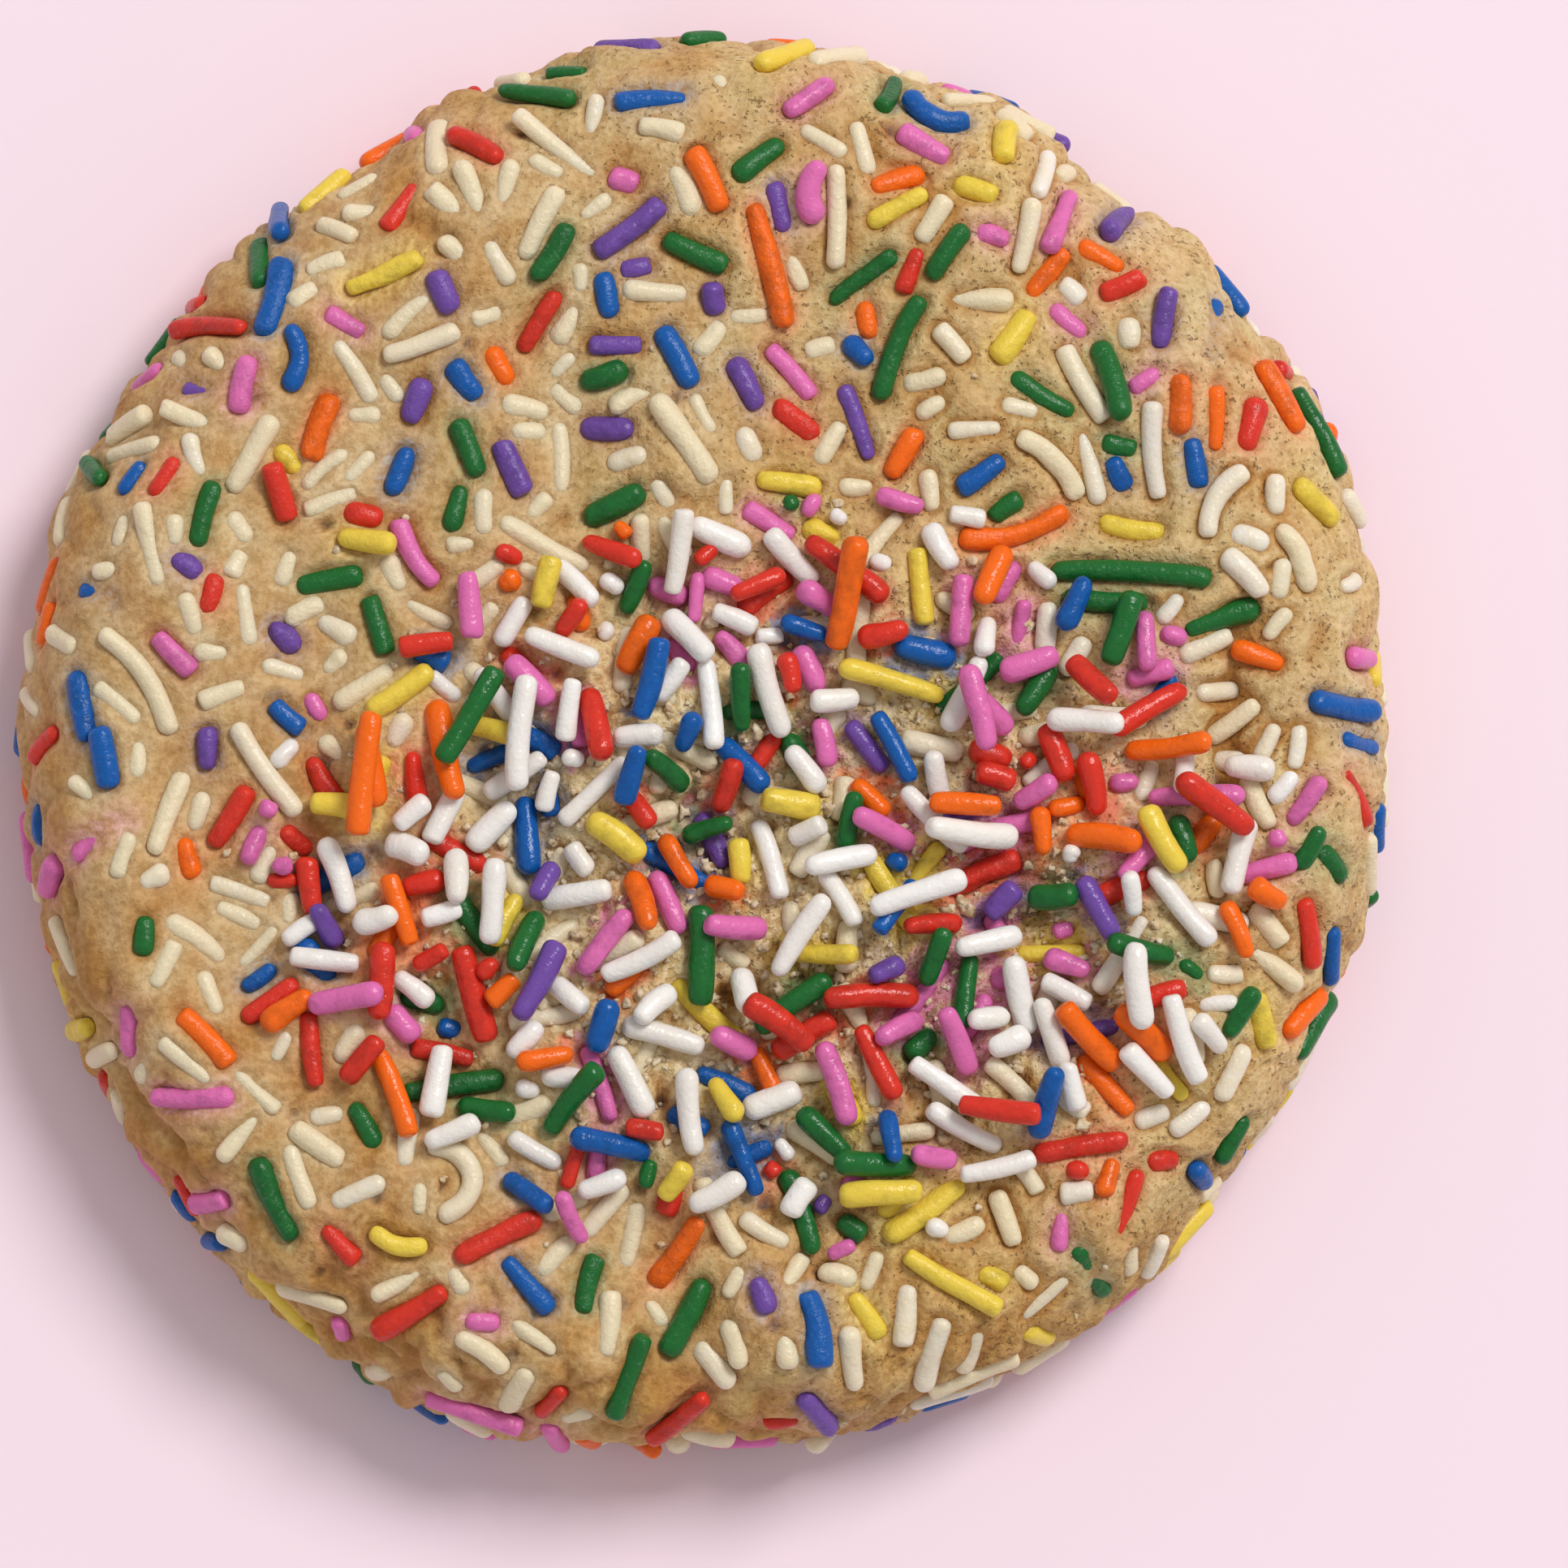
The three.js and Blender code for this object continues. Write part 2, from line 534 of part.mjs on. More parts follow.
function toGeometry(solid) {
  const { vertProperties, triVerts } = solid.getMesh();
  const geometry = new THREE.BufferGeometry();
  geometry.setAttribute('position', new THREE.BufferAttribute(vertProperties, 3));
  geometry.setIndex(new THREE.BufferAttribute(triVerts, 1));
  geometry.computeVertexNormals();
  return geometry;
}

// Crumbs that touch nothing and hollows that the joining seals are separate bodies: only the
// largest is kept.
function mainBody(solid) {
  const bodies = solid.decompose();
  return bodies.reduce((largest, body) => (body.volume() > largest.volume() ? body : largest));
}

const prominence = (rod) => rod.length * (1 - rod.sink);

// The largest sprinkles that lie `apart` from each other, each with those that hold it up.
function addLargest(shown, rods, { count, apart }) {
  const wanted = shown.size + count;
  const withHolders = (rod) => [rod, ...rod.holders.flatMap(withHolders)];
  for (const rod of [...rods].sort((a, b) => prominence(b) - prominence(a))) {
    if (shown.size >= wanted) return;
    const spaced = [...shown].every((other) => {
      return Math.hypot(rod.x - other.x, rod.y - other.y, rod.z - other.z) >= apart;
    });
    if (spaced) withHolders(rod).forEach((held) => shown.add(held));
  }
}

function cookieGeometry() {
  const laid = layAll();
  const shown = new Set();
  for (const sort of Object.keys(SHOWN)) addLargest(shown, laid[sort], SHOWN[sort]);
  const rods = wasm.Manifold.union([...shown].map((rod) => toSolid(rodGeometry(rod))));
  return toGeometry(mainBody(toSolid(doughGeometry()).add(rods).simplify(WELD)));
}

// ---- the model ----

const crustMaterial = new THREE.MeshStandardMaterial({ color: '#d5b489', roughness: 0.75, metalness: 0 });

const cookie = new THREE.Mesh(cookieGeometry(), crustMaterial);
cookie.name = 'cookie';

const group = new THREE.Group();
group.add(cookie);

export default group;
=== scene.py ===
"""A birthday-cake cookie: its crust with lumps, pores and browning, the sprinkles baked into it,
the loose ones heaped on it and the crumbs among them. Sizes are in millimetres until a mesh is made."""

import math
from types import SimpleNamespace

import bmesh
import bpy
from mathutils import Matrix, Vector, bvhtree, kdtree, noise


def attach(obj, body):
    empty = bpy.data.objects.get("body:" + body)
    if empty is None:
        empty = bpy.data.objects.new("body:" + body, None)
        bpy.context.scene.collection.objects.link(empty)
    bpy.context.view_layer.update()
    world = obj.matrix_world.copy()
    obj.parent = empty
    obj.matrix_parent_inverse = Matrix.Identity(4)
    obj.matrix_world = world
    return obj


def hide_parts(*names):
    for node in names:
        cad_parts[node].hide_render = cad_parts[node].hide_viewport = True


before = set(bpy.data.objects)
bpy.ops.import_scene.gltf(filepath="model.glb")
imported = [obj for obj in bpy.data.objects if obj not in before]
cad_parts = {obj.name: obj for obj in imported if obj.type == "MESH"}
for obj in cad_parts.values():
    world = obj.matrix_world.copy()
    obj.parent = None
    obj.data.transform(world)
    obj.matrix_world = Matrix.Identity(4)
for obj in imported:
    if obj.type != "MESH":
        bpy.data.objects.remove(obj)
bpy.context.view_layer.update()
noise.seed_set(5)  # without it, warped noise would differ from run to run

MM = 0.001

# ---- the dough's driving dimensions, as in the solid ----

RADIUS = 37.5  # mean radius of the dough, seen from above
HEIGHT = 11.4  # of the crust along the inner edge of the shoulder
BELLY = 4.2  # height at which the wall is widest
SHOULDER = 5.5  # width of the rounded shoulder above the belly
UNDERCUT = 2.4  # how far the foot of the wall turns in under the belly
CROWN = 0.7  # how much the middle of the crust stands above the shoulder

# Waves round the outline: how many go round, their height and the angle at which they peak.
OUTLINE_WAVES = (
    (1, 0.3, -70), (2, 0.84, 140), (4, 0.14, -16), (5, 0.26, 99), (7, 0.12, -89), (8, 0.13, -126),
)
RIM_LUMPS = SimpleNamespace(seed=3, first=9, last=24, rise=0.13)
CRUST_LUMPS = SimpleNamespace(seed=7, count=11, shortest=5, longest=14, steepness=0.013)
RIDGE = SimpleNamespace(radius=31, width=3.2, rise=0.35)

# Furrows and pits in the crust: where they run, how wide they are and how deep.
FURROWS = (
    (((-20.9, 0.8), (-21.4, -6), (-19.8, -12.4)), 1.5, 1.0),
    (((28.9, 6.6), (28.2, 2.4), (28.0, -2.2)), 0.9, 1.1),
    (((9.2, 31.4), (11.4, 29.8), (13.9, 29.2)), 1.0, 0.8),
    (((-15.8, 27.4), (-14.6, 26.3)), 0.8, 0.9),
    (((-26.1, 22.5), (-25.2, 22.2)), 0.7, 1.0),
    (((19.3, 25.4), (19.9, 25.2)), 0.6, 0.9),
    (((4.6, -28.6), (5.9, -28.9)), 0.8, 1.0),
    (((-15.6, -14.2), (-14.4, -15.6)), 1.0, 0.9),
    (((-2.4, 12.9), (-0.8, 12.6)), 0.8, 0.7),
)

FURROW_REACH = 16  # no furrow is felt farther off than this from the middle of its two ends
LEVEL_WITHIN = 27  # inside this radius the crust is clear of the shoulder all round

# ---- the sprinkles' driving dimensions, as in the solid ----

COLOURS = ("white", "pink", "red", "orange", "green", "blue", "yellow", "purple")
HEAP = SimpleNamespace(x=4, y=-7.5, half_width=25, half_depth=18)
THIN, THICK = 0.62, 0.8  # radius of the thinnest sprinkle and of the thickest
SHORT = 2.3  # length of the shortest
SPARE = 4.2  # how much longer the longest is
LOOSE_SINK = 0.16  # share of a loose sprinkle's diameter that sinks into the crust
BAKED_SINK = (0.38, 0.74)  # the same share of a baked-in one's, least and most
CREAM_SINK = 0.12  # the white ones in the left half are sunk this much more
WALL_SINK = (0.38, 0.78)
PRESS = 0.16  # how far crossing sprinkles press into each other
STEEPEST = 0.5  # slope at which a leaning sprinkle stops
BENT = SimpleNamespace(share=0.25, most=30)
HEAP_RISE = 1.5  # how far above the crust the middle of a scattered loose sprinkle may lie
BEADS = 9  # points along a sprinkle that are tested for contact
FARTHEST = 9.2  # no two sprinkles whose middles are farther apart than this can touch

# The sprinkles that stand out most: x, y, heading in degrees, length, and the angle of a bend.
LANDMARKS = {
    "white": (
        (6.9, 28, 90, 6.2), (-9.2, 27.6, 65, 4.7), (-15.6, 21, 20, 4.9), (20.2, 19, -60, 5.5),
        (24, 15.4, -85, 6), (18.6, 14.8, -45, 5.4, 45), (27.5, 12.8, 60, 5.2, 60), (31.9, 9.7, -65, 4.3, 50),
        (-24.7, 15, 60, 5.1), (-30.5, 3, -55, 7.4, 45), (-29.2, -4.4, 70, 5.3), (-24, -2.1, -55, 6.4),
        (-10.3, -0.1, 85, 6.7), (-5.6, -17, 90, 5.8), (14, -5.5, -5, 5.8), (22.9, -13.7, -85, 4.9),
        (-13.2, -23.9, -80, 7, 170), (-1.4, 15.9, -55, 5.8), (17.2, 27, 78, 4.7), (20.2, 0.6, -5, 4.5),
        (-31.6, -9.9, 90, 3.8), (-21.1, -22.2, -35, 4), (-14.7, -18.8, 80, 4.6), (11.1, -8.7, 18, 5.8),
        (4.8, -11, 58, 5.5), (16, -26.1, -70, 3.7), (7.7, -33.7, -82, 4.1), (-12.1, -33.2, -35, 3.9, 30),
    ),
    "pink": (
        (5.4, 34.5, 35, 3.8), (11.6, 31.9, -30, 3.8), (5.4, 29.4, 85, 3.8, 60), (19, 27.9, 68, 4.9),
        (-25.2, 18.8, 80, 3.6), (-28.9, 4.2, -45, 3.7), (35.4, 4.4, 5, 3.4), (30.1, -7.2, 15, 3.8),
        (32.3, -3.6, 55, 3.7), (-27.8, -19.7, 0, 5.2), (-16, 9.6, -60, 4.9, -35), (-32.7, -5.7, 35, 4.3),
        (14.4, 1.2, -75, 5), (1.3, -10.6, -3, 4.4), (-12.5, -36.4, -18, 6.4),
    ),
    "red": (
        (-12.6, 31.9, -30, 4.1), (-9.2, 22.3, 60, 4.3), (-23.2, 13, -72, 4.1), (20.5, 2.8, -45, 4.2),
        (27.2, -3.9, -35, 5.2), (32.5, -10.6, -80, 4.6), (-16, -31.2, 30, 5.2), (-11.4, -27.2, 27, 5.4),
        (-1.5, -36.8, 38, 5.8), (15.5, -20.4, -8, 5.3), (3.7, -15.7, -35, 4.9), (-25.8, -4.6, 58, 4.3),
    ),
    "orange": (
        (-0.1, 30, -65, 4.3), (3.3, 25.4, -75, 7.4), (-21.1, 16.5, 70, 4.1), (31, 18.5, -62, 4.7),
        (10.5, 15.2, 62, 3.5), (16.6, 10.9, 15, 6.6, -45), (15.2, 8.5, 65, 3.9), (24.7, -0.8, 5, 5.4),
        (-18.7, -2.4, 83, 7.4), (20.4, -16.4, -45, 5.4), (7.3, 7.4, 80, 6.7), (13.7, -3.9, -3, 4.4),
        (25.5, 17.9, 90, 3.6),
    ),
    "green": (
        (-0.1, 38.2, 5, 3.4), (-9.2, 34.8, -10, 5.4), (-0.8, 26, -25, 4.4), (-8.4, 25.9, 60, 4),
        (12.8, 26.1, 55, 4), (10.1, 21, 68, 6.6, 25), (21.8, 19.2, -75, 5.1), (33.2, 16.8, -62, 6),
        (22.8, 8.8, -3, 9.1), (21.4, 7.2, -3, 5.1), (-13, 0.8, 60, 6.6), (-23.4, -25.2, -65, 5.3),
        (-4.3, -34.6, 70, 6), (-1.2, -31.5, 62, 4.9), (33, -15.3, 60, 4.9), (-5.1, 12.3, 25, 3.9),
        (-13, 15.4, -68, 3.9),
    ),
    "blue": (
        (12.2, 33.6, -25, 4.7, -100), (-22.2, 20.3, 90, 4.3, -70), (-1.7, 20.4, -62, 4.1),
        (28.2, 24.5, -55, 4), (34.4, 1.6, -7, 5.3), (-33.7, 1.4, -80, 4.2), (-32.6, -1.4, -80, 3.9),
        (-22.8, 0.8, -42, 3.1), (-9.8, -24.8, -35, 3.8), (5.8, -32.1, -80, 5, 25), (26.7, -23.6, -50, 2.9),
        (-3.2, 2.8, 75, 5.3), (-4.3, -2.4, 75, 4),
    ),
    "yellow": (
        (4.3, 37, 25, 5.1), (-17.6, 24.8, 25, 5.1), (16.5, 21.6, 55, 3.9), (-18.5, 10.3, -8, 3.8),
        (24.3, -5.8, -62, 4.4), (29.9, -15.3, -75, 3.7), (-16.8, -27.6, -15, 3.9, -50),
        (11.7, -25.7, 35, 5.5), (13.1, -29.6, -30, 6.8), (16, 32.2, 80, 3.4),
    ),
    "purple": (
        (-4.3, 27.3, 38, 5.3), (-14.4, 23.8, -65, 2.9), (-15.8, 17.9, 70, 2.9), (-10.7, 14.3, -68, 3.8),
        (2, 18.9, -62, 3.5), (24.6, 22.6, 80, 4.2), (-9.2, -13.5, 62, 5.3), (5.1, -7.5, 30, 4.2),
        (2.8, -30.3, -70, 2.5),
    ),
}
LANDMARK_RADIUS = 0.75
LANDMARK_SINK = 0.42

# The rest are scattered by rule. Shares are in the order of COLOURS.
BAKED_IN = SimpleNamespace(seed=11, count=235, tries=9000, shares=(46, 9, 8, 8, 9, 7, 7, 4))
LOOSE = SimpleNamespace(seed=29, count=128, tries=9000, shares=(40, 13, 14, 9, 9, 9, 4, 4))
ON_WALL = SimpleNamespace(seed=47, count=150, tries=6000, shares=(40, 12, 12, 9, 10, 8, 6, 3))
WALL_REACH = (-52, 36)  # degrees below and above the belly, along the wall's curve
FLOOR_MARGIN = 0.15
RIM_MARGIN = 1.2
SLOPING = 0.75  # share of the shoulder's width that is too steep to lie on
UNDER_HEAP = 0.65
NEAREST = SimpleNamespace(baked_in=0.95, on_wall=0.9, loose=0.5)

# ---- what only this model has ----

# More sprinkles: how many, and the shares of their colours. `reach` is how far from the axis they lie.
FILLING = SimpleNamespace(seed=173, count=90, tries=6000, shares=(33, 16, 17, 10, 8, 8, 4, 4))
FLUSH = SimpleNamespace(
    seed=97, count=320, tries=16000, shares=(80, 3, 3, 3, 4, 2, 3, 2), reach=34, length=(2.2, 5.2),
    sink=(0.66, 0.78), nearest=0.82,
)
BITS = SimpleNamespace(
    seed=151, count=90, tries=6000, shares=(34, 14, 15, 10, 9, 9, 5, 4), spread=1.15, thick=(0.48, 0.68),
    sink=(0.25, 0.5), highest=0.9, tilt=0.3, nearest=0.7,
)
UNDERNEATH = SimpleNamespace(
    seed=61, count=70, tries=4000, shares=(40, 12, 12, 9, 10, 8, 6, 3), reach=33, lift=0.92,
)
CRUMBS = SimpleNamespace(seed=131, count=900, reach=30, smallest=0.13, largest=0.42)

DEEPEST_SINK = 0.66  # sprinkles that lie deeper are raised to this, so that their edges show cleanly
BOW = 16  # degrees by which a straight sprinkle may be bent
TAPER = 0.09  # how much thicker one end may be, as a share
UNEVEN, MELTED = 0.12, (0.2, 0.45)  # unevenness of a sound sprinkle, and of one that half melted
FULL_BLEED = SimpleNamespace(heap=2.0, crust=1.0)  # how far the strongest dyes run

PITS = SimpleNamespace(seed=101, count=170, reach=36, width=(0.24, 0.5), depth=(0.3, 0.9))
RELIEF = SimpleNamespace(wave=4.6, lump=3.0, knob=1.2, grain=0.5, crumb=1.1, crack=3.4)  # sizes of its forms
GROOVE = SimpleNamespace(width=0.24, baked_in=0.08, loose=0.1)  # round a sprinkle's edge, and its depths
SWOLLEN = SimpleNamespace(least=0.2, more=0.24)  # how far the dough rises round the baked-in sprinkles
FOOT_HOLLOW = 0.14  # how far the middle of the underside stands off the surface it was baked on

CRUST_CELLS = 272  # cells across the crust
WALL_RINGS = 11  # between the belly and the foot
BASE_RINGS = (34.2, 33.0, 31.5, 30, 28.5, 26.5, 24.5, 22.5, 20, 17, 14, 11, 8, 5)  # radii on the underside
BASE_HALVED = (34.2, 30, 22.5, 11)  # the ones from which the cells are twice as wide
SHOULDER_ARC = 10.0  # length of the shoulder's curve

SIDES = 8  # of a sprinkle's cage
CAGE_LEFT = 0.925  # smoothing leaves this much of the radius of a cage of eight sides

# Colours as light is reflected, red, green and blue.
DYES = {
    "pink": (0.72, 0.16, 0.43),
    "red": (0.68, 0.035, 0.018),
    "orange": (0.90, 0.145, 0.006),
    "green": (0.010, 0.135, 0.025),
    "blue": (0.004, 0.098, 0.38),
    "yellow": (0.80, 0.59, 0.07),
    "purple": (0.16, 0.07, 0.35),
}
WHITES = ((0.80, 0.75, 0.71), (0.89, 0.86, 0.83))  # the dullest white sprinkle and the brightest
CREAM = (0.78, 0.66, 0.45)  # white sprinkles that took on the dough's colour
SAND = (0.56, 0.365, 0.155)  # the dough on top
PEACH = (0.66, 0.485, 0.26)  # its palest side
GOLDEN = (0.52, 0.265, 0.058)  # where it baked longest
PALE = (0.86, 0.70, 0.42)  # flour and sugar that stayed pale
OLIVE = (0.56, 0.47, 0.23)  # tinted by dyes that ran
TOAST_AND_SHADE = (0.46, 0.225, 0.06)  # toasted low on the wall, darker towards the left, and painted shade in hollows, pits and at sprinkles' edges
DARKEST_BROWN_AND_SHADE = (0.14, 0.045, 0.012)  # the foot's darkest brown, and painted shade in the deepest hollows and pits
PIN_HOLE_SHADE = (0.27, 0.13, 0.05)  # painted shade inside a pin-hole
CRUMB = ((0.58, 0.38, 0.19), (0.88, 0.74, 0.54))  # crumbs, from their darkest to their palest

# What the dough's colour is multiplied by: painted shade between its grains, stronger there where it is
# crumbly, and painted light on them.
SHADE_BETWEEN_GRAINS = (0.86, 0.79, 0.66)
SHADE_BETWEEN_CRUMBS = (0.76, 0.65, 0.5)
LIGHT_ON_GRAINS = (1.08, 1.09, 1.1)


def stream(seed):
    """The same draws every time: a linear congruential stream."""
    state = seed

    def draw(low=0.0, high=1.0):
        nonlocal state
        state = (state * 1664525 + 1013904223) % 4294967296
        return low + (high - low) * state / 4294967296

    return draw


def pick_colour(draw, shares):
    left = draw(0, sum(shares))
    for colour, share in zip(COLOURS, shares):
        left -= share
        if left < 0:
            return colour
    return COLOURS[0]


def between(low, high, value):
    """0 at low and below, 1 at high and above, and smooth in between."""
    share = min(1.0, max(0.0, (value - low) / (high - low)))
    return share * share * (3 - 2 * share)


# ---- the dough's form, as in the solid ----

def rim_lumps():
    draw = stream(RIM_LUMPS.seed)
    return [(k, RIM_LUMPS.rise * draw(), draw(0, 360)) for k in range(RIM_LUMPS.first, RIM_LUMPS.last + 1)]


def crust_lumps():
    draw = stream(CRUST_LUMPS.seed)
    lumps = []
    for _ in range(CRUST_LUMPS.count):
        length = draw(CRUST_LUMPS.shortest, CRUST_LUMPS.longest)
        lumps.append((length, draw(0, 2 * math.pi), draw(0, 2 * math.pi)))
    return lumps


OUTLINE = [(k, rise, math.radians(peak)) for k, rise, peak in (*OUTLINE_WAVES, *rim_lumps())]
FURROW_MIDDLES = [
    ((path[0][0] + path[-1][0]) / 2, (path[0][1] + path[-1][1]) / 2, path, width, depth)
    for path, width, depth in FURROWS
]
LUMPS = [
    (math.cos(heading) * 2 * math.pi / length, math.sin(heading) * 2 * math.pi / length, start,
     CRUST_LUMPS.steepness * length)
    for length, heading, start in crust_lumps()
]


def outline(angle):
    """Distance from the axis to the outline in the direction of an angle."""
    return RADIUS + sum(rise * math.cos(k * angle - peak) for k, rise, peak in OUTLINE)


def distance_to_path(x, y, path):
    nearest = math.inf
    for (ax, ay), (bx, by) in zip(path, path[1:]):
        along = ((x - ax) * (bx - ax) + (y - ay) * (by - ay)) / ((bx - ax) ** 2 + (by - ay) ** 2)
        share = min(1.0, max(0.0, along))
        nearest = min(nearest, math.hypot(x - ax - share * (bx - ax), y - ay - share * (by - ay)))
    return nearest


def furrow(x, y):
    """How deep the furrows and pits cut into the crust. One that is far off is passed over."""
    cut = 0.0
    for middle_x, middle_y, path, width, depth in FURROW_MIDDLES:
        if abs(x - middle_x) + abs(y - middle_y) < FURROW_REACH:
            cut += depth * math.exp(-((distance_to_path(x, y, path) / width) ** 2))
    return cut


def swell(x, y):
    """Lumps, furrows, the low ring and the crown, above a level crust."""
    radius = math.hypot(x, y)
    rise = CROWN * (1 - (radius / RADIUS) ** 2)
    rise += RIDGE.rise * math.exp(-(((radius - RIDGE.radius) / RIDGE.width) ** 2))
    for across, along, start, height in LUMPS:
        rise += height * math.sin(x * across + y * along + start)
    return rise - furrow(x, y)


def crust(x, y):
    """Height of the dough's upper surface, from the belly inwards."""
    level = HEIGHT + swell(x, y) - BELLY
    radius = math.hypot(x, y)
    if radius < LEVEL_WITHIN:
        return BELLY + level
    inset = outline(math.atan2(y, x)) - radius
    if inset >= SHOULDER:
        return BELLY + level
    out = 1 - max(inset, 0) / SHOULDER
    return BELLY + level * math.sqrt(1 - out * out)


# ---- the sprinkles' places, as in the solid ----

def sprinkle(colour, length, radius, sink, bend=0.0, x=0.0, y=0.0, turn=0.0):
    return SimpleNamespace(
        colour=colour, length=length, radius=radius, sink=sink, bend=bend, x=x, y=y, z=None, turn=turn,
        loose=False, beads=[],
    )


def middle_line(rod, share):
    """A point of a sprinkle's bent middle line, for a share from -1 to 1: forward and sideways."""
    half = rod.length / 2 - rod.radius
    bend = math.radians(rod.bend)
    if bend == 0:
        return share * half, 0.0
    curve = 2 * half / bend
    return curve * math.sin(share * bend / 2), curve * (math.cos(share * bend / 2) - math.cos(bend / 4))


def beads_on_crust(rod):
    beads = []
    for i in range(BEADS):
        ahead, aside = middle_line(rod, 2 * i / (BEADS - 1) - 1)
        x = rod.x + ahead * math.cos(rod.turn) - aside * math.sin(rod.turn)
        y = rod.y + ahead * math.sin(rod.turn) + aside * math.cos(rod.turn)
        beads.append((x, y, crust(x, y), ahead))
    return beads


def neighbours(rod, rods):
    near = []
    x, y = rod.x, rod.y
    for other in rods:
        if abs(other.x - x) < FARTHEST and abs(other.y - y) < FARTHEST:
            rise = 0 if rod.z is None else rod.z - other.z
            if math.hypot(x - other.x, y - other.y, rise) < (rod.length + other.length) / 2:
                near.append(other)
    return near


def meets(rod, rods, share):
    for other in neighbours(rod, rods):
        limit = (share * (rod.radius + other.radius)) ** 2
        for bx, by, bz, *_ in other.beads:
            for ax, ay, az, *_ in rod.beads:
                if (ax - bx) ** 2 + (ay - by) ** 2 + (az - bz) ** 2 < limit:
                    return True
    return False


def held_at(rod, bead, near):
    """How high the crust or the sprinkles under it hold one point of a sprinkle."""
    x, y, z, _ = bead
    height = z + rod.radius * (1 - 2 * rod.sink)
    for other in near:
        reach = rod.radius + other.radius
        for ox, oy, oz, *_ in other.beads:
            apart = math.hypot(x - ox, y - oy)
            if apart < reach:
                height = max(height, oz + math.sqrt(reach * reach - apart * apart) - PRESS)
    return height


def settle(rod, rods, highest=2 * HEAP_RISE):
    """Lays a sprinkle down on the two points, one each side of its middle, that hold it highest."""
    near = neighbours(rod, rods)
    contacts = [(bead[3], held_at(rod, bead, near)) for bead in rod.beads]
    middle = (BEADS - 1) // 2
    height, slope = contacts[middle][1], 0.0
    for back_at, back in contacts[:middle]:
        for front_at, front in contacts[middle + 1:]:
            incline = (front - back) / (front_at - back_at)
            held = back - incline * back_at
            if held > height:
                height, slope = held, incline
    if height > crust(rod.x, rod.y) + highest:
        return
    slope = max(-STEEPEST, min(STEEPEST, slope))
    rod.z = height
    aim(rod, slope)
    rod.beads = [(x, y, height + slope * ahead, ahead) for x, y, _, ahead in rod.beads]
    rods.append(rod)


def wall_lean(climb):
    """How far above level the wall faces, at an angle along its curve from the belly."""
    across, rise = (UNDERCUT, BELLY) if climb < 0 else (SHOULDER, HEIGHT - BELLY)
    return math.atan2(math.sin(climb) / rise, math.cos(climb) / across)


def set_in_wall(rod, angle, climb, slant):
    """Sets a sprinkle into the wall or the shoulder, lying in its surface at a slant to the level."""
    across, rise = (UNDERCUT, BELLY) if climb < 0 else (SHOULDER, HEIGHT - BELLY)
    lean = wall_lean(climb)
    lift = rod.radius * (1 - 2 * rod.sink)
    reach = outline(angle) - across * (1 - math.cos(climb)) + lift * math.cos(lean)
    rod.x = reach * math.cos(angle)
    rod.y = reach * math.sin(angle)
    rod.z = BELLY + rise * math.sin(climb) + lift * math.sin(lean)
    up = Vector((math.cos(angle) * math.cos(lean), math.sin(angle) * math.cos(lean), math.sin(lean)))
    level = Vector((-math.sin(angle), math.cos(angle), 0))
    rod.forward = level * math.cos(slant) + up.cross(level) * math.sin(slant)
    rod.side = up.cross(rod.forward)
    rod.beads = []
    for i in range(BEADS):
        ahead, aside = middle_line(rod, 2 * i / (BEADS - 1) - 1)
        rod.beads.append(tuple(Vector((rod.x, rod.y, rod.z)) + rod.forward * ahead + rod.side * aside))


def set_on_shoulder(rod):
    """A sprinkle on the steep part of the shoulder is set into it, with its heading from above."""
    angle = math.atan2(rod.y, rod.x)
    inset = outline(angle) - math.hypot(rod.x, rod.y)
    if inset > SLOPING * SHOULDER:
        return False
    climb = math.acos(1 - max(inset, 0.02 * SHOULDER) / SHOULDER)
    outward = math.cos(rod.turn - angle)
    slant = math.atan2(-outward / math.sin(wall_lean(climb)), math.sin(rod.turn - angle))
    set_in_wall(rod, angle, climb, slant)
    return True


def from_heap(x, y):
    """How far out from the heap's middle: 1 at its edge."""
    return math.hypot((x - HEAP.x) / HEAP.half_width, (y - HEAP.y) / HEAP.half_depth)


def in_heap(x, y):
    return from_heap(x, y) < 1


def heap_spot(angle, out):
    """The place in that direction from the heap's middle, a share `out` of the way to its edge."""
    return HEAP.x + HEAP.half_width * out * math.cos(angle), HEAP.y + HEAP.half_depth * out * math.sin(angle)


def away(angle, reach):
    """The place in that direction from the axis, at a distance from it."""
    return reach * math.cos(angle), reach * math.sin(angle)


def aim(rod, slope):
    """Points a sprinkle along its heading, with its front end that much higher for its length."""
    rod.forward = Vector((math.cos(rod.turn), math.sin(rod.turn), slope)).normalized()
    rod.side = Vector((-math.sin(rod.turn), math.cos(rod.turn), 0))


def landmarks(loose):
    found = []
    for colour, rows in LANDMARKS.items():
        for x, y, heading, length, *bend in rows:
            if in_heap(x, y) == loose:
                sink = LOOSE_SINK if loose else LANDMARK_SINK
                turn = math.radians(heading)
                found.append(sprinkle(colour, length, LANDMARK_RADIUS, sink, *(bend or [0.0]), x, y, turn))
    return found


def attempts(rods, kind):
    """Goes on until there are enough more in a list of sprinkles, or no tries are left."""
    wanted = len(rods) + kind.count
    for i in range(kind.tries):
        if len(rods) >= wanted:
            return
        yield i


def draw_length(draw):
    return SHORT + SPARE * draw() * (0.45 + 0.55 * draw())


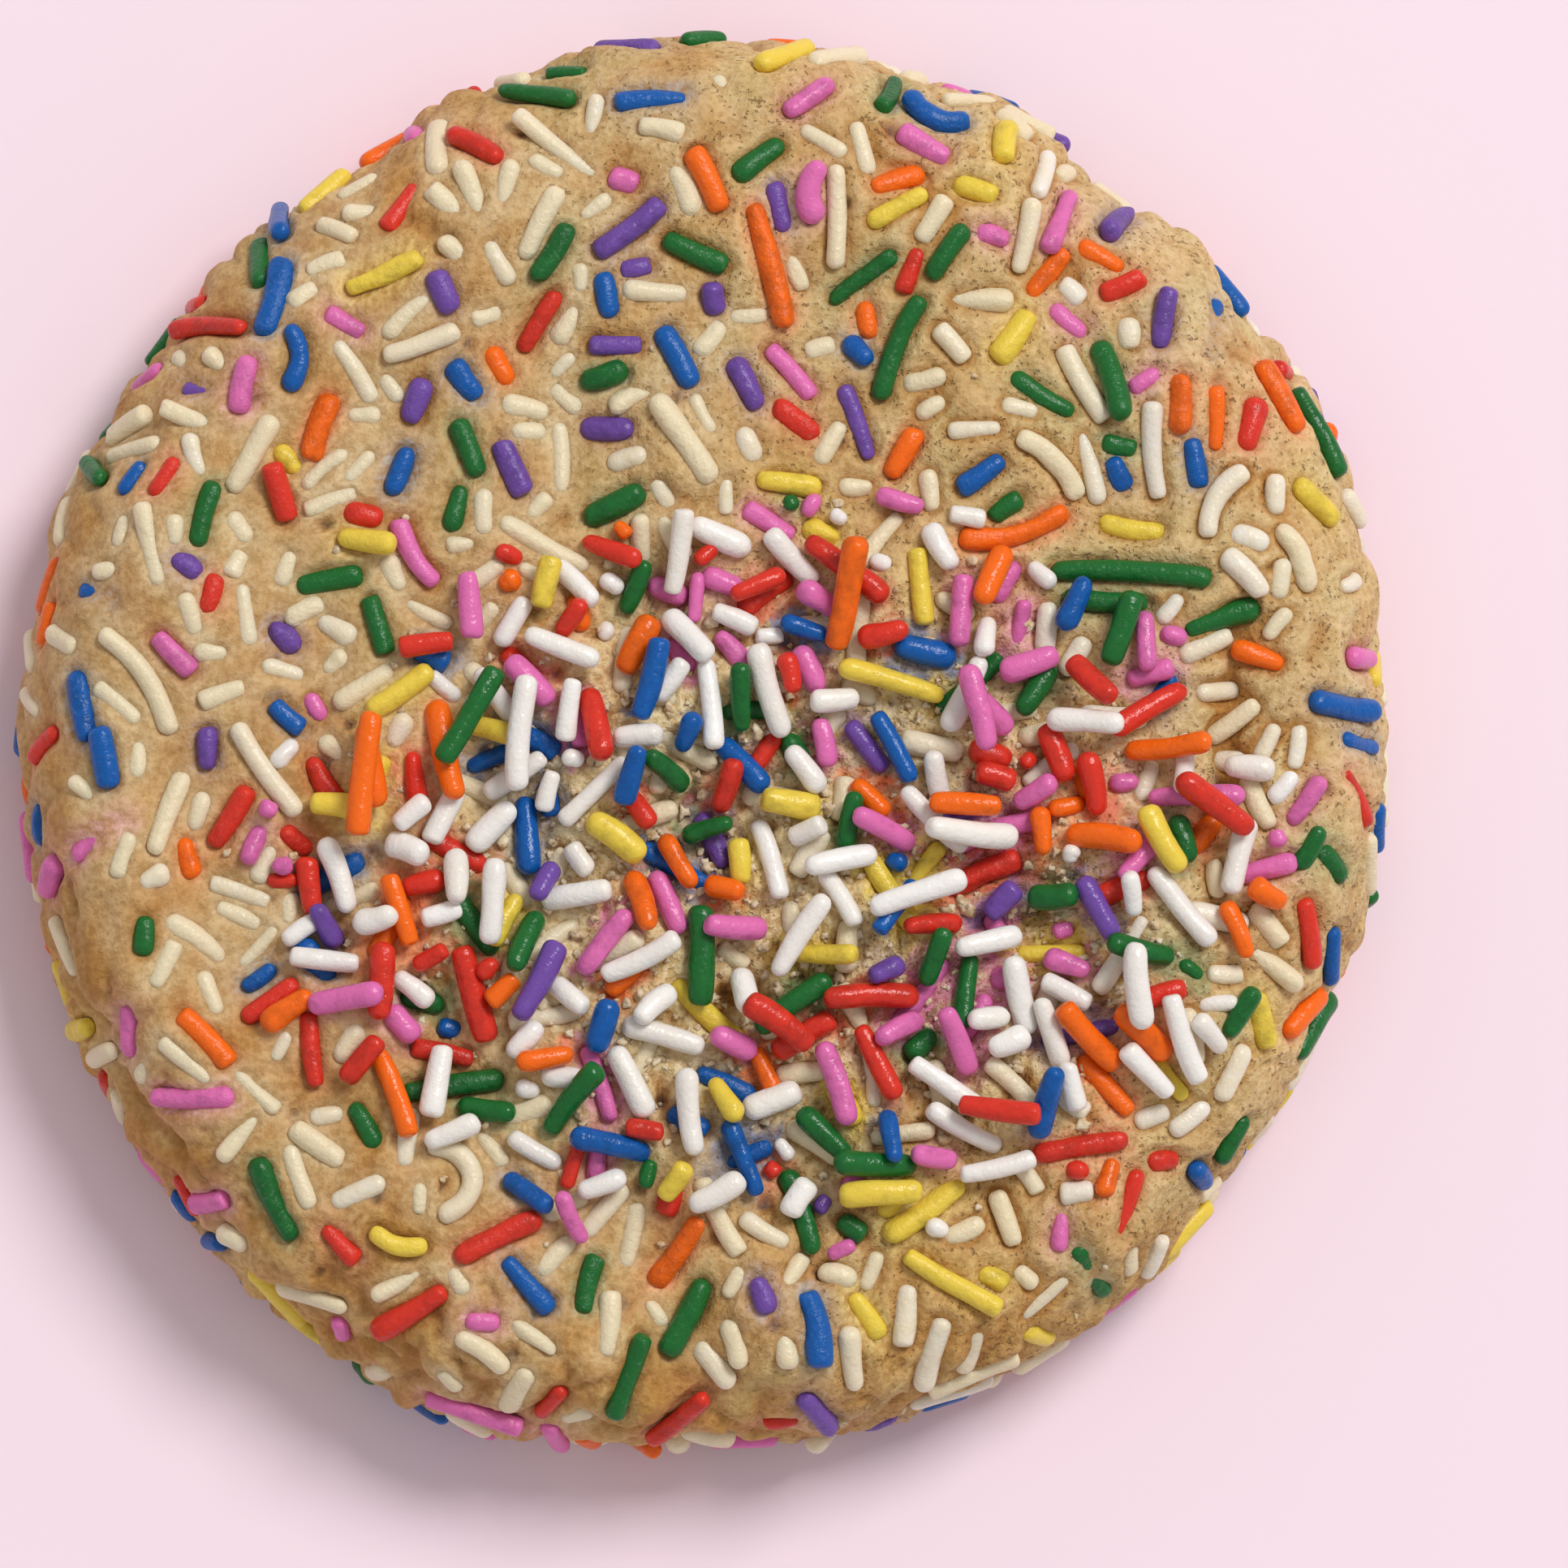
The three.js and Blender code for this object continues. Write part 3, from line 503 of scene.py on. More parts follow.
def scatter_baked_in(rods):
    draw = stream(BAKED_IN.seed)
    for _ in attempts(rods, BAKED_IN):
        x = draw(-RADIUS, RADIUS)
        y = draw(-RADIUS, RADIUS)
        turn = draw(0, math.pi)
        length = draw_length(draw)
        radius = draw(THIN, THICK)
        bend = draw(-BENT.most, BENT.most) if draw() < BENT.share else 0.0
        colour = pick_colour(draw, BAKED_IN.shares)
        sink = draw(*BAKED_SINK) + (CREAM_SINK if colour == "white" and x < 0 else 0)
        kept = draw() < (UNDER_HEAP if in_heap(x, y) else 1)
        if not kept or math.hypot(x, y) > outline(math.atan2(y, x)) - RIM_MARGIN:
            continue
        rod = sprinkle(colour, length, radius, sink, bend, x, y, turn)
        if set_on_shoulder(rod):
            if not meets(rod, rods, NEAREST.on_wall):
                rods.append(rod)
            continue
        rod.beads = beads_on_crust(rod)
        if not meets(rod, rods, NEAREST.baked_in):
            settle(rod, rods)


def scatter_loose(rods, kind, first):
    """Heaps loose sprinkles on the crust. Those that lie in the list from `first` on are loose too."""
    draw = stream(kind.seed)
    for _ in attempts(rods, kind):
        x, y = heap_spot(draw(0, 2 * math.pi), math.sqrt(draw()) * (0.75 + 0.35 * draw()))
        turn = draw(0, math.pi)
        length = draw_length(draw) + 0.3
        radius = draw(THIN, THICK)
        colour = pick_colour(draw, kind.shares)
        rod = sprinkle(colour, length, radius, LOOSE_SINK, 0.0, x, y, turn)
        rod.beads = beads_on_crust(rod)
        if not meets(rod, rods[first:], NEAREST.loose):
            settle(rod, rods, HEAP_RISE)


def scatter_on_wall(rods):
    draw = stream(ON_WALL.seed)
    wall = []
    for _ in attempts(wall, ON_WALL):
        angle = draw(0, 2 * math.pi)
        climb = math.radians(draw(*WALL_REACH))
        slant = draw(0, math.pi)
        length = draw_length(draw)
        radius = draw(THIN, THICK)
        colour = pick_colour(draw, ON_WALL.shares)
        rod = sprinkle(colour, length, radius, draw(*WALL_SINK))
        set_in_wall(rod, angle, climb, slant)
        lowest = min(bead[2] for bead in rod.beads) - radius
        if lowest > FLOOR_MARGIN and not meets(rod, rods + wall, NEAREST.on_wall):
            wall.append(rod)
    return wall


def scatter_underneath():
    """Sprinkles that lie flush in the underside, where they were pressed against the tray."""
    draw = stream(UNDERNEATH.seed)
    under = []
    for _ in attempts(under, UNDERNEATH):
        x, y = away(draw(0, 2 * math.pi), UNDERNEATH.reach * math.sqrt(draw()))
        rod = sprinkle(
            pick_colour(draw, UNDERNEATH.shares), draw_length(draw), draw(THIN, THICK), 1.0, 0.0, x, y,
            draw(0, math.pi),
        )
        rod.z = UNDERNEATH.lift * rod.radius
        aim(rod, 0)
        rod.side.negate()
        rod.beads = [(x, y, rod.z) for x, y, *_ in beads_on_crust(rod)]
        if not meets(rod, under, NEAREST.baked_in):
            under.append(rod)
    return under


def scatter_flush(rods):
    """Fills the bare places of the crust with sprinkles that lie nearly flush in it. They settle on
    the crust alone, and not on each other."""
    draw = stream(FLUSH.seed)
    for _ in attempts(rods, FLUSH):
        x, y = away(draw(0, 2 * math.pi), FLUSH.reach * math.sqrt(draw()))
        rod = sprinkle(
            pick_colour(draw, FLUSH.shares), draw(*FLUSH.length), draw(THIN, THICK), draw(*FLUSH.sink),
            0.0, x, y, draw(0, math.pi),
        )
        if in_heap(x, y):
            continue
        rod.beads = beads_on_crust(rod)
        if not meets(rod, rods, FLUSH.nearest):
            settled = []
            settle(rod, settled)
            rods += settled


def scatter_bits(rods):
    """Broken bits and little balls that lie between the loose sprinkles."""
    draw = stream(BITS.seed)
    for _ in attempts(rods, BITS):
        x, y = heap_spot(draw(0, 2 * math.pi), BITS.spread * math.sqrt(draw()))
        radius = draw(*BITS.thick)
        length = 2.2 * radius + 2.2 * draw()
        turn = draw(0, math.pi)
        bit = sprinkle(pick_colour(draw, BITS.shares), length, radius, draw(*BITS.sink), 0.0, x, y, turn)
        bit.beads = beads_on_crust(bit)
        bit.z = held_at(bit, bit.beads[BEADS // 2], neighbours(bit, rods))
        if bit.z > crust(x, y) + BITS.highest or meets(bit, rods, BITS.nearest):
            continue
        aim(bit, draw(-BITS.tilt, BITS.tilt))
        bit.beads = [(bx, by, bit.z, ahead) for bx, by, _, ahead in bit.beads]
        bit.loose = True
        rods.append(bit)


def lay_all():
    baked_in = []
    for rod in landmarks(False):
        if set_on_shoulder(rod):
            baked_in.append(rod)
        else:
            rod.beads = beads_on_crust(rod)
            settle(rod, baked_in)
    scatter_baked_in(baked_in)
    laid = list(baked_in)
    scatter_loose(laid, LOOSE, len(baked_in))
    for rod in landmarks(True):
        rod.beads = beads_on_crust(rod)
        settle(rod, laid)
    scatter_loose(laid, FILLING, len(baked_in))
    for rod in laid[len(baked_in):]:
        rod.loose = True
    laid += scatter_on_wall(baked_in)
    scatter_flush(laid)
    scatter_bits(laid)
    return laid + scatter_underneath()


# ---- what each sprinkle went through in the oven ----

def weather(rods):
    """Gives every sprinkle its shade, its own uneven shape and how far its dye ran."""
    draw = stream(83)
    for rod in rods:
        rod.number = draw(0, 900)
        rod.tone = draw(-1, 1)
        rod.baked = draw(0.0, 0.2) if rod.loose else draw(0.5, 1.0) * (1 - 0.35 * between(-5, 25, rod.x))
        rod.cream = rod.baked * (rod.colour == "white") * (1 - between(-5, 15, rod.x))
        rod.bleed = draw() ** 1.3 * (FULL_BLEED.heap if in_heap(rod.x, rod.y) else FULL_BLEED.crust)
        rod.square = draw(0.5, 0.9) if draw() < 0.25 else draw(0.1, 0.4)
        rod.stout = draw(0.8, 1.0) if rod.loose else draw(0.72, 0.93)
        rod.taper = draw(-TAPER, TAPER)
        rod.melt = draw(*MELTED) if draw() < 0.25 and not rod.loose else UNEVEN
        if rod.melt > UNEVEN:
            rod.baked += 0.5
            rod.bleed = max(rod.bleed, 0.8)
        bow = draw(-BOW, BOW)
        if rod.bend == 0:
            rod.bend = bow
        if DEEPEST_SINK < rod.sink < 1:
            raised = rod.forward.cross(rod.side) * (2 * rod.radius * (rod.sink - DEEPEST_SINK))
            rod.x, rod.y, rod.z = Vector((rod.x, rod.y, rod.z)) + raised


# ---- the dough ----

def heapness(x, y):
    """1 in the middle of the heap and 0 well outside it."""
    return 1 - between(0.55, 1.2, from_heap(x, y))


def crumbliness(x, y):
    """How crumbly the crust is: most in the middle of the heap, least at the upper right."""
    smooth = between(6, 34, 0.75 * x + 0.66 * y)
    return (0.25 + 0.75 * heapness(x, y)) * (1 - 0.6 * smooth)


def section_at(share):
    """Distance from the axis for a share of the way from the middle over the shoulder to the belly."""
    flat = RADIUS - SHOULDER
    along = share * (flat + SHOULDER_ARC)
    if along <= flat:
        return along
    return flat + SHOULDER * math.sin((along - flat) / SHOULDER_ARC * math.pi / 2)


def onto_disc(vert):
    """Moves a vertex of a square sheet onto the crust, square rings becoming round ones."""
    u, v = vert.co.x, vert.co.y
    share = max(abs(u), abs(v))
    if share == 0:
        angle = 0.0
    elif abs(u) >= abs(v):
        angle = math.pi / 4 * v / u + (math.pi if u < 0 else 0)
    else:
        angle = math.pi / 2 - math.pi / 4 * u / v + (math.pi if v < 0 else 0)
    x, y = away(angle, section_at(share) * outline(angle) / RADIUS)
    vert.co = (x, y, crust(x, y) if share < 1 else BELLY)


def edge_ring(shell):
    return [edge for edge in shell.edges if edge.is_boundary]


def pull_ring(shell, radius, height):
    """Extrudes the open edge to a new ring of that radius, which follows the outline."""
    made = bmesh.ops.extrude_edge_only(shell, edges=edge_ring(shell))["geom"]
    ring = [item for item in made if isinstance(item, bmesh.types.BMVert)]
    for vert in ring:
        angle = math.atan2(vert.co.y, vert.co.x)
        vert.co = (*away(angle, radius * outline(angle) / RADIUS), height)
    return ring


def dough_shell():
    """A closed shell: the crust's cells, the wall pulled down from their edge, and the underside."""
    shell = bmesh.new()
    bmesh.ops.create_grid(shell, x_segments=CRUST_CELLS, y_segments=CRUST_CELLS, size=1)
    for vert in shell.verts:
        onto_disc(vert)
    for i in range(1, WALL_RINGS + 1):
        climb = -i / WALL_RINGS * math.pi / 2
        pull_ring(shell, RADIUS - UNDERCUT * (1 - math.cos(climb)), BELLY * (1 + math.sin(climb)))
    for radius in BASE_RINGS:
        ring = pull_ring(shell, radius, 0)
        if radius in BASE_HALVED:
            ring.sort(key=lambda vert: math.atan2(vert.co.y, vert.co.x))
            bmesh.ops.dissolve_verts(shell, verts=ring[::2])
    bmesh.ops.holes_fill(shell, edges=edge_ring(shell))
    bmesh.ops.recalc_face_normals(shell, faces=shell.faces)
    return shell


def rod_points(rods):
    """A search tree of points along all sprinkles, and which sprinkle each point is of."""
    points = []
    for rod in rods:
        steps = max(2, int(rod.length / 0.2))
        for i in range(steps + 1):
            ahead, aside = middle_line(rod, 2 * i / steps - 1)
            points.append((Vector((rod.x, rod.y, rod.z)) + rod.forward * ahead + rod.side * aside, rod))
    tree = kdtree.KDTree(len(points))
    for i, (point, _) in enumerate(points):
        tree.insert(point, i)
    tree.balance()
    return tree, points


def nearby(tree, points, place, reach=2.4, most=14):
    """The sprinkles round a place, nearest first: the gap to each, the point on it and the sprinkle."""
    found = {}
    for point, i, distance in tree.find_n(place, most):
        rod = points[i][1]
        if distance < reach and id(rod) not in found:
            found[id(rod)] = (distance - rod.radius, point, rod)
    return sorted(found.values(), key=lambda item: item[0])


def crack(place, size, width):
    """1 along the wandering lines where a wave of noise crosses zero, 0 away from them."""
    warped = place / size + noise.noise_vector(place / (0.5 * size)) * 0.35
    return math.exp(-((noise.noise(warped) / width) ** 2))


def billow(place, size):
    """Rounded lumps of about that size with creases between them, from 0 to about 1."""
    return 1 - math.exp(-3.2 * abs(noise.noise(place / size)))


def relief(place, crumbly, side):
    """Lumps, grains and cracks of the bare crust, as a height along its normal. The wall, where
    `side` is 1, is lumpier than the top."""
    golden = goldenness(place)
    rough = max(0.3 + 0.95 * crumbly + 0.75 * golden, 0.9 * side)
    warped = place + noise.noise_vector(place / 2.5) * 0.5
    height = 0.4 * noise.noise(place / RELIEF.wave)
    height += (0.55 + 0.7 * side) * rough * (billow(warped, RELIEF.lump) - 0.5)
    height += 0.22 * rough * (1 - 0.7 * side) * (billow(warped + Vector((31, 7, 5)), RELIEF.knob) - 0.5)
    height += (0.05 + 0.1 * rough) * (1 - 0.8 * side) * noise.noise(place / RELIEF.grain)
    cell = noise.voronoi(place / RELIEF.crumb + noise.noise_vector(place / 1.7) * 0.4)[0][0]
    height += max(0.0, crumbly - 0.25) * 1.1 * (0.45 - cell)
    where = between(-0.1, 0.3, noise.noise(place / 9 + Vector((3, 11, 2))) + 0.25 * crumbly)
    height -= (0.12 + 0.2 * crumbly) * where * crack(place, RELIEF.crack, 0.05)
    return height * (1 - 0.35 * (1 - side) * (1 - golden) * between(-2, -24, place.x))


def pit_places():
    """Small round pits where gas broke through the crust."""
    draw = stream(PITS.seed)
    pits = []
    for i in range(PITS.count):
        angle, out = draw(0, 2 * math.pi), math.sqrt(draw())
        # Every other one lies under the heap.
        x, y = heap_spot(angle, out) if i % 2 else away(angle, out * PITS.reach)
        pits.append((Vector((x, y, crust(x, y))), draw(*PITS.width), draw(*PITS.depth)))
    return pits


def pit_depth(place, pits, tree):
    depth = 0.0
    for _, i, distance in tree.find_n(place, 2):
        _, width, deep = pits[i]
        depth = max(depth, deep * math.exp(-((distance / width) ** 2)))
    return depth


def bedding(near, swollen):
    """How the crust meets the sprinkles round it: a groove at their edge, and beyond it the dough
    has swollen nearly as high as they stand."""
    height = swollen
    for gap, _, rod in near[:3]:
        groove = math.exp(-((max(gap, 0) / GROOVE.width) ** 2))
        if rod.loose:
            height -= GROOVE.loose * groove
        elif rod.sink < 1:
            low = swollen * (0.4 + 0.6 * between(0.0, 0.45, gap)) - GROOVE.baked_in * groove
            height = min(height, low + (0.7 * swollen - low) * rod.cream)
    inside = min((gap for gap, *_ in near), default=1.0)
    return height + 0.7 * min(inside, 0.0)


def mixed(share, first, second):
    return tuple(a + (b - a) * share for a, b in zip(first, second))


def goldenness(place):
    """How far the crust browned in the oven: most at the lower left."""
    return between(8, 36, -0.8 * place.y - 0.45 * place.x + 3.5 * noise.noise(place / 7))


def browning_and_shade(place, normal, height, near):
    """How far the dough is browned on its foot and underside, plus painted shade in its hollows and at the
    edges of sprinkles.
    """
    if normal.z < -0.5:
        rim = between(24, 35, place.xy.length)
        return 0.36 + 0.22 * rim + 0.3 * noise.noise(place / 5) + 0.15 * noise.noise(place / 1.5)
    foot = 1 - between(0.3, 5.5, place.z + 1.4 * noise.noise(place / 6))
    # Painted shade in the hollows, by how deep they lie.
    hollow = between(0.05, 0.6, -height)
    # Painted shade in the groove at a baked-in sprinkle's edge, more where the crust is golden.
    edge = 0.0
    if near and not near[0][2].loose:
        gap, _, rod = near[0]
        edge = 0.25 * goldenness(place) * (1 - rod.cream) * math.exp(-((max(gap, 0) / 0.25) ** 2))
    return min(1.0, 0.7 * foot + 0.6 * hollow + edge)


def bare_colour(place, toast_and_shade, heaped):
    """Colour of the dough: sandy on top, peach towards the right, golden towards the lower left, darker
    towards the left, and paler and broken open under the heap."""
    drift = 3.5 * noise.noise(place / 7)
    colour = mixed(between(8, 33, place.x + 0.25 * place.y + drift), SAND, PEACH)
    colour = mixed(goldenness(place), colour, GOLDEN)
    left = between(2, -22, place.x)
    pale = between(-0.1, 0.5, noise.noise(place / 2.6 + Vector((5, 1, 9))) + 0.1)
    gold = between(0.0, 0.5, noise.noise(place / 3.1 + Vector((15, 4, 2))))
    crumb = between(-0.25, 0.3, noise.noise(place / 0.9 + Vector((2, 8, 4))))
    olive = between(0.0, 0.4, noise.noise(place / 3.3 + Vector((4, 14, 7))))
    colour = mixed(0.2 + (0.2 + 0.3 * left) * gold, colour, GOLDEN)
    colour = mixed(0.4 * olive, colour, OLIVE)
    colour = mixed(0.55 * left, colour, TOAST_AND_SHADE)
    colour = mixed(max(0.2 * pale, heaped * (0.75 + 0.25 * crumb)), colour, PALE)
    # Toasted on the foot and underside, and painted shade in hollows, pits and at the edges of sprinkles.
    colour = mixed(between(0.04, 0.6, toast_and_shade), colour, TOAST_AND_SHADE)
    return mixed(between(0.55, 1.3, toast_and_shade), colour, DARKEST_BROWN_AND_SHADE)


def dye_in_dough(place, near, colour, heaped):
    """The dough's colour at a place, after the sprinkles' dyes ran into it: strongly at their edges
    and faintly farther out, but farther and stronger under the heap."""
    for gap, _, rod in near[:5]:
        out = max(gap, 0)
        patchy = 0.6 + 1.1 * noise.noise(place / 0.7 + Vector((rod.number, 5, 0)))
        if rod.colour == "white":
            share = 0.35 * rod.cream * math.exp(-out / 0.35)
            colour = mixed(share, colour, CREAM)
        else:
            fringe = between(-0.12, 0.2, noise.noise(place / 0.34 + Vector((rod.number, 0, 5))))
            share = 0.65 * fringe * min(1.0, rod.bleed) * math.exp(-((out / 0.3) ** 2))
            share += rod.bleed * (0.34 + 1.8 * heaped * max(0.0, patchy - 0.35)) * math.exp(-out / 0.9)
            stain = mixed(0.55 - 0.4 * heaped, DYES[rod.colour], PALE)
            colour = mixed(min(0.88, max(0.0, share)), colour, stain)
    return colour


def porousness(place):
    """How thickly the crust is set with pin-holes: most at the right and under the heap."""
    return 0.15 + 0.85 * between(-16, 12, place.x + 0.2 * place.y + 3 * noise.noise(place / 5))


def make_dough(rods, finish):
    """Makes the dough's piece and returns its surface, for the crumbs to lie on."""
    shell = dough_shell()
    tree, points = rod_points(rods)
    pits = pit_places()
    pit_tree = kdtree.KDTree(len(pits))
    for i, (place, _, _) in enumerate(pits):
        pit_tree.insert(place, i)
    pit_tree.balance()
    skin_layer = shell.verts.layers.float_color.new("skin")
    crumb_layer = shell.verts.layers.float.new("crumbly")
    pore_layer = shell.verts.layers.float.new("porous")
    shell.normal_update()
    moved = []
    for vert in shell.verts:
        place, normal = vert.co.copy(), vert.normal.copy()
        crumbly = crumbliness(place.x, place.y) if normal.z > 0 else 0.3
        near = nearby(tree, points, place)
        gap = near[0][0] if near else math.inf
        pit = pit_depth(place, pits, pit_tree)
        bare = relief(place, crumbly, 1 - abs(normal.z)) - pit
        bare *= 0.4 + 0.6 * between(0.0, 0.9, gap)
        heaped = heapness(place.x, place.y) if normal.z > 0 else 0.0
        swollen = SWOLLEN.least + SWOLLEN.more * (1 - heaped) * max(0.0, normal.z)
        height = bare + bedding(near, swollen)
        # How far a place lies below the swollen dough, and in a furrow, sets the painted shade of its
        # hollows; a pit adds painted shade by its depth.
        deep = height - swollen - 0.6 * (furrow(place.x, place.y) if normal.z > 0.3 else 0)
        colour = bare_colour(place, browning_and_shade(place, normal, deep, near) + 1.1 * pit, heaped)
        if normal.z > -0.5:
            colour = dye_in_dough(place, near, colour, heaped)
        vert[skin_layer] = (*colour, 1.0)
        vert[crumb_layer] = crumbly
        vert[pore_layer] = porousness(place)
        if normal.z < -0.5:
            hollow = FOOT_HOLLOW * between(0, 6, 35 - place.xy.length)
            height = -hollow - max(0.0, 0.3 * height)
        target = place + normal * height
        target.z = max(target.z, 0.0)
        moved.append((vert, target))
    for vert, target in moved:
        vert.co = target
    surface = bvhtree.BVHTree.FromBMesh(shell)
    dough = as_piece("dough", shell, finish)
    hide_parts("cookie")
    return surface


# ---- making pieces ----

def ball_mesh(rows=None):
    """A ball to copy: one of bands, or one of triangles when no number of bands is given."""
    ball = bmesh.new()
    if rows:
        bmesh.ops.create_uvsphere(ball, u_segments=SIDES, v_segments=rows, radius=1)
    else:
        bmesh.ops.create_icosphere(ball, subdivisions=2, radius=1)
    data = bpy.data.meshes.new("ball")
    ball.to_mesh(data)
    ball.free()
    return data


def add_copy(mesh, ball):
    """Adds a copy of a ball to a mesh and returns the copy's vertices."""
    start = len(mesh.verts)
    mesh.from_mesh(ball, face_normals=False, vertex_normals=False)
    mesh.verts.ensure_lookup_table()
    return mesh.verts[start:]


def as_piece(name, mesh, finish):
    """Makes a piece in metres from a mesh in millimetres, smooth shaded, riding on the body."""
    bmesh.ops.scale(mesh, vec=(MM, MM, MM), verts=mesh.verts)
    data = bpy.data.meshes.new(name)
    mesh.to_mesh(data)
    mesh.free()
    data.materials.append(finish)
    data.shade_smooth()
    piece = bpy.data.objects.new(name, data)
    bpy.context.scene.collection.objects.link(piece)
    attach(piece, "root")
    return piece


# ---- the sprinkles ----

def shape_rod(verts, rod, rows):
    """Turns a ball of `rows` bands into a sprinkle: its outer bands close the ends, and the
    inner ones run along the bent middle line."""
    straight = (rows - 6) / 2
    mid = Vector((rod.x, rod.y, rod.z))
    up = rod.forward.cross(rod.side)
    for vert in verts:
        unit = vert.co.normalized()
        band = math.degrees(math.asin(max(-1.0, min(1.0, unit.z)))) / 180 * rows
        share = max(-1.0, min(1.0, band / straight))
        cap = math.radians(min(90.0, max(0.0, abs(band) - straight) * 30))
        around = math.atan2(unit.y, unit.x)
        spot = Vector((share * rod.length / 1.6 + rod.number, math.cos(around) * 0.6, math.sin(around) * 0.6))
        uneven = rod.stout + rod.taper * share + 0.16 * noise.noise(spot) + rod.melt * noise.noise(spot * 3.1)
        girth = rod.radius / CAGE_LEFT * uneven
        ring = girth * max(0.0, math.cos(cap)) ** (1 - 0.55 * rod.square)
        ragged = 1 + rod.square * 0.35 * noise.noise(spot * 2.3)
        tip = math.copysign(girth * math.sin(cap) * (1 - 0.55 * rod.square) * ragged, share)
        ahead, aside = middle_line(rod, share)
        lean = share * math.radians(rod.bend) / 2
        out = ring * math.cos(around)
        ahead += tip * math.cos(lean) + out * math.sin(lean)
        aside += out * math.cos(lean) - tip * math.sin(lean)
        place = mid + rod.forward * ahead + rod.side * aside + up * (ring * math.sin(around) * 0.97)
        place.z = max(place.z, 0.0)
        vert.co = place


def kind_of(rod):
    """The white ones that were baked in turned to cream, and are a kind of their own."""
    return "cream" if rod.colour == "white" and not rod.loose else rod.colour


def make_sprinkles(colour, rods, finish):
    balls = {rows: ball_mesh(rows) for rows in (8, 10, 12)}
    mesh = bmesh.new()
    tone_layer = mesh.verts.layers.float.new("tone")
    baked_layer = mesh.verts.layers.float.new("baked")
    for rod in rods:
        rows = 12 if abs(rod.bend) >= 50 else 10 if rod.length > 4.8 else 8
        verts = add_copy(mesh, balls[rows])
        shape_rod(verts, rod, rows)
        for vert in verts:
            vert[tone_layer] = rod.tone
            vert[baked_layer] = rod.baked
    bmesh.ops.recalc_face_normals(mesh, faces=mesh.faces)
    piece = as_piece(f"sprinkles_{colour}", mesh, finish)
    smooth = piece.modifiers.new("Smooth", "SUBSURF")
    smooth.levels = smooth.render_levels = 1
    return piece


# ---- the crumbs ----

def make_crumbs(surface, finish):
    """Loose grains of dough, thickest where the crust is crumbly."""
    ball = ball_mesh()
    mesh = bmesh.new()
    draw = stream(CRUMBS.seed)
    made = 0
    while made < CRUMBS.count:
        across, along = away(draw(0, 2 * math.pi), CRUMBS.reach * math.sqrt(draw()))
        x, y = HEAP.x + across, HEAP.y + along
        size = CRUMBS.smallest + (CRUMBS.largest - CRUMBS.smallest) * draw() * draw()
        if draw() > crumbliness(x, y) ** 3:
            continue
        made += 1
        spot = surface.ray_cast(Vector((x, y, 30)), Vector((0, 0, -1)))[0] + Vector((0, 0, 0.25 * size))
        seed = Vector((draw(0, 500), 0, 0))
        for vert in add_copy(mesh, ball):
            rough = 1 + 1.1 * noise.noise(vert.co * 0.9 + seed) + 0.9 * noise.noise(vert.co * 2.2 + seed)
            vert.co = spot + vert.co * size * rough
    return as_piece("crumbs", mesh, finish)


# ---- finishes ----

class Paint:
    """A socket of a finish's nodes. Python's own operators add Math nodes to it."""

    def __init__(self, finish, socket):
        self.finish = finish
        self.socket = socket

    def maths(self, operation, first, second):
        return self.finish.node("ShaderNodeMath", {"operation": operation}, {0: first, 1: second})

    def __add__(self, other):
        return self.maths("ADD", self, other)

    def __sub__(self, other):
        return self.maths("SUBTRACT", self, other)

    def __rsub__(self, other):
        return self.maths("SUBTRACT", other, self)

    def __mul__(self, other):
        return self.maths("MULTIPLY", self, other)

    __radd__ = __add__
    __rmul__ = __mul__


class Finish:
    """A material: its nodes, and the shader that they feed."""

    def __init__(self, name, **constants):
        self.material = bpy.data.materials.new(name)
        self.material.use_nodes = True
        self.nodes = self.material.node_tree.nodes
        self.links = self.material.node_tree.links
        self.shader = self.nodes["Principled BSDF"]
        for socket, value in constants.items():
            self.shader.inputs[socket.replace("_", " ")].default_value = value
        self.place = self.node("ShaderNodeTexCoord", output="Object")

    def node(self, kind, settings=None, sockets=None, output=0):
        made = self.nodes.new(kind)
        for name, value in (settings or {}).items():
            setattr(made, name, value)
        for key, value in (sockets or {}).items():
            self.feed(made.inputs[key], value)
        return Paint(self, made.outputs[output])

    def feed(self, socket, value):
        if isinstance(value, Paint):
            self.links.new(value.socket, socket)
        elif isinstance(value, tuple) and len(value) == 3 and socket.type == "RGBA":
            socket.default_value = (*value, 1.0)
        else:
            socket.default_value = value

    def into(self, name, value):
        self.feed(self.shader.inputs[name], value)

    def grain(self, size, detail=2.0, roughness=0.5):
        """Noise from 0 to 1 whose lumps are about `size` millimetres."""
        values = {"Vector": self.place, "Scale": 1 / (size * MM), "Detail": detail, "Roughness": roughness}
        return self.node("ShaderNodeTexNoise", {}, values, "Fac")

    def step(self, value, low, high):
        """0 at low, 1 at high and smooth in between."""
        settings = {"interpolation_type": "SMOOTHSTEP"}
        return self.node("ShaderNodeMapRange", settings, {"Value": value, "From Min": low, "From Max": high})

    def blend(self, share, first, second, how="MIX"):
        settings = {"data_type": "RGBA", "blend_type": how, "clamp_factor": True}
        return self.node("ShaderNodeMix", settings, {0: share, 6: first, 7: second}, 2)

    def attribute(self, name, output="Fac"):
        return self.node("ShaderNodeAttribute", {"attribute_name": name}, {}, output)

    def bump(self, height, distance):
        """A normal from heights of 0 to 1, `distance` millimetres high."""
        return self.node("ShaderNodeBump", {}, {"Height": height, "Distance": distance * MM}, "Normal")


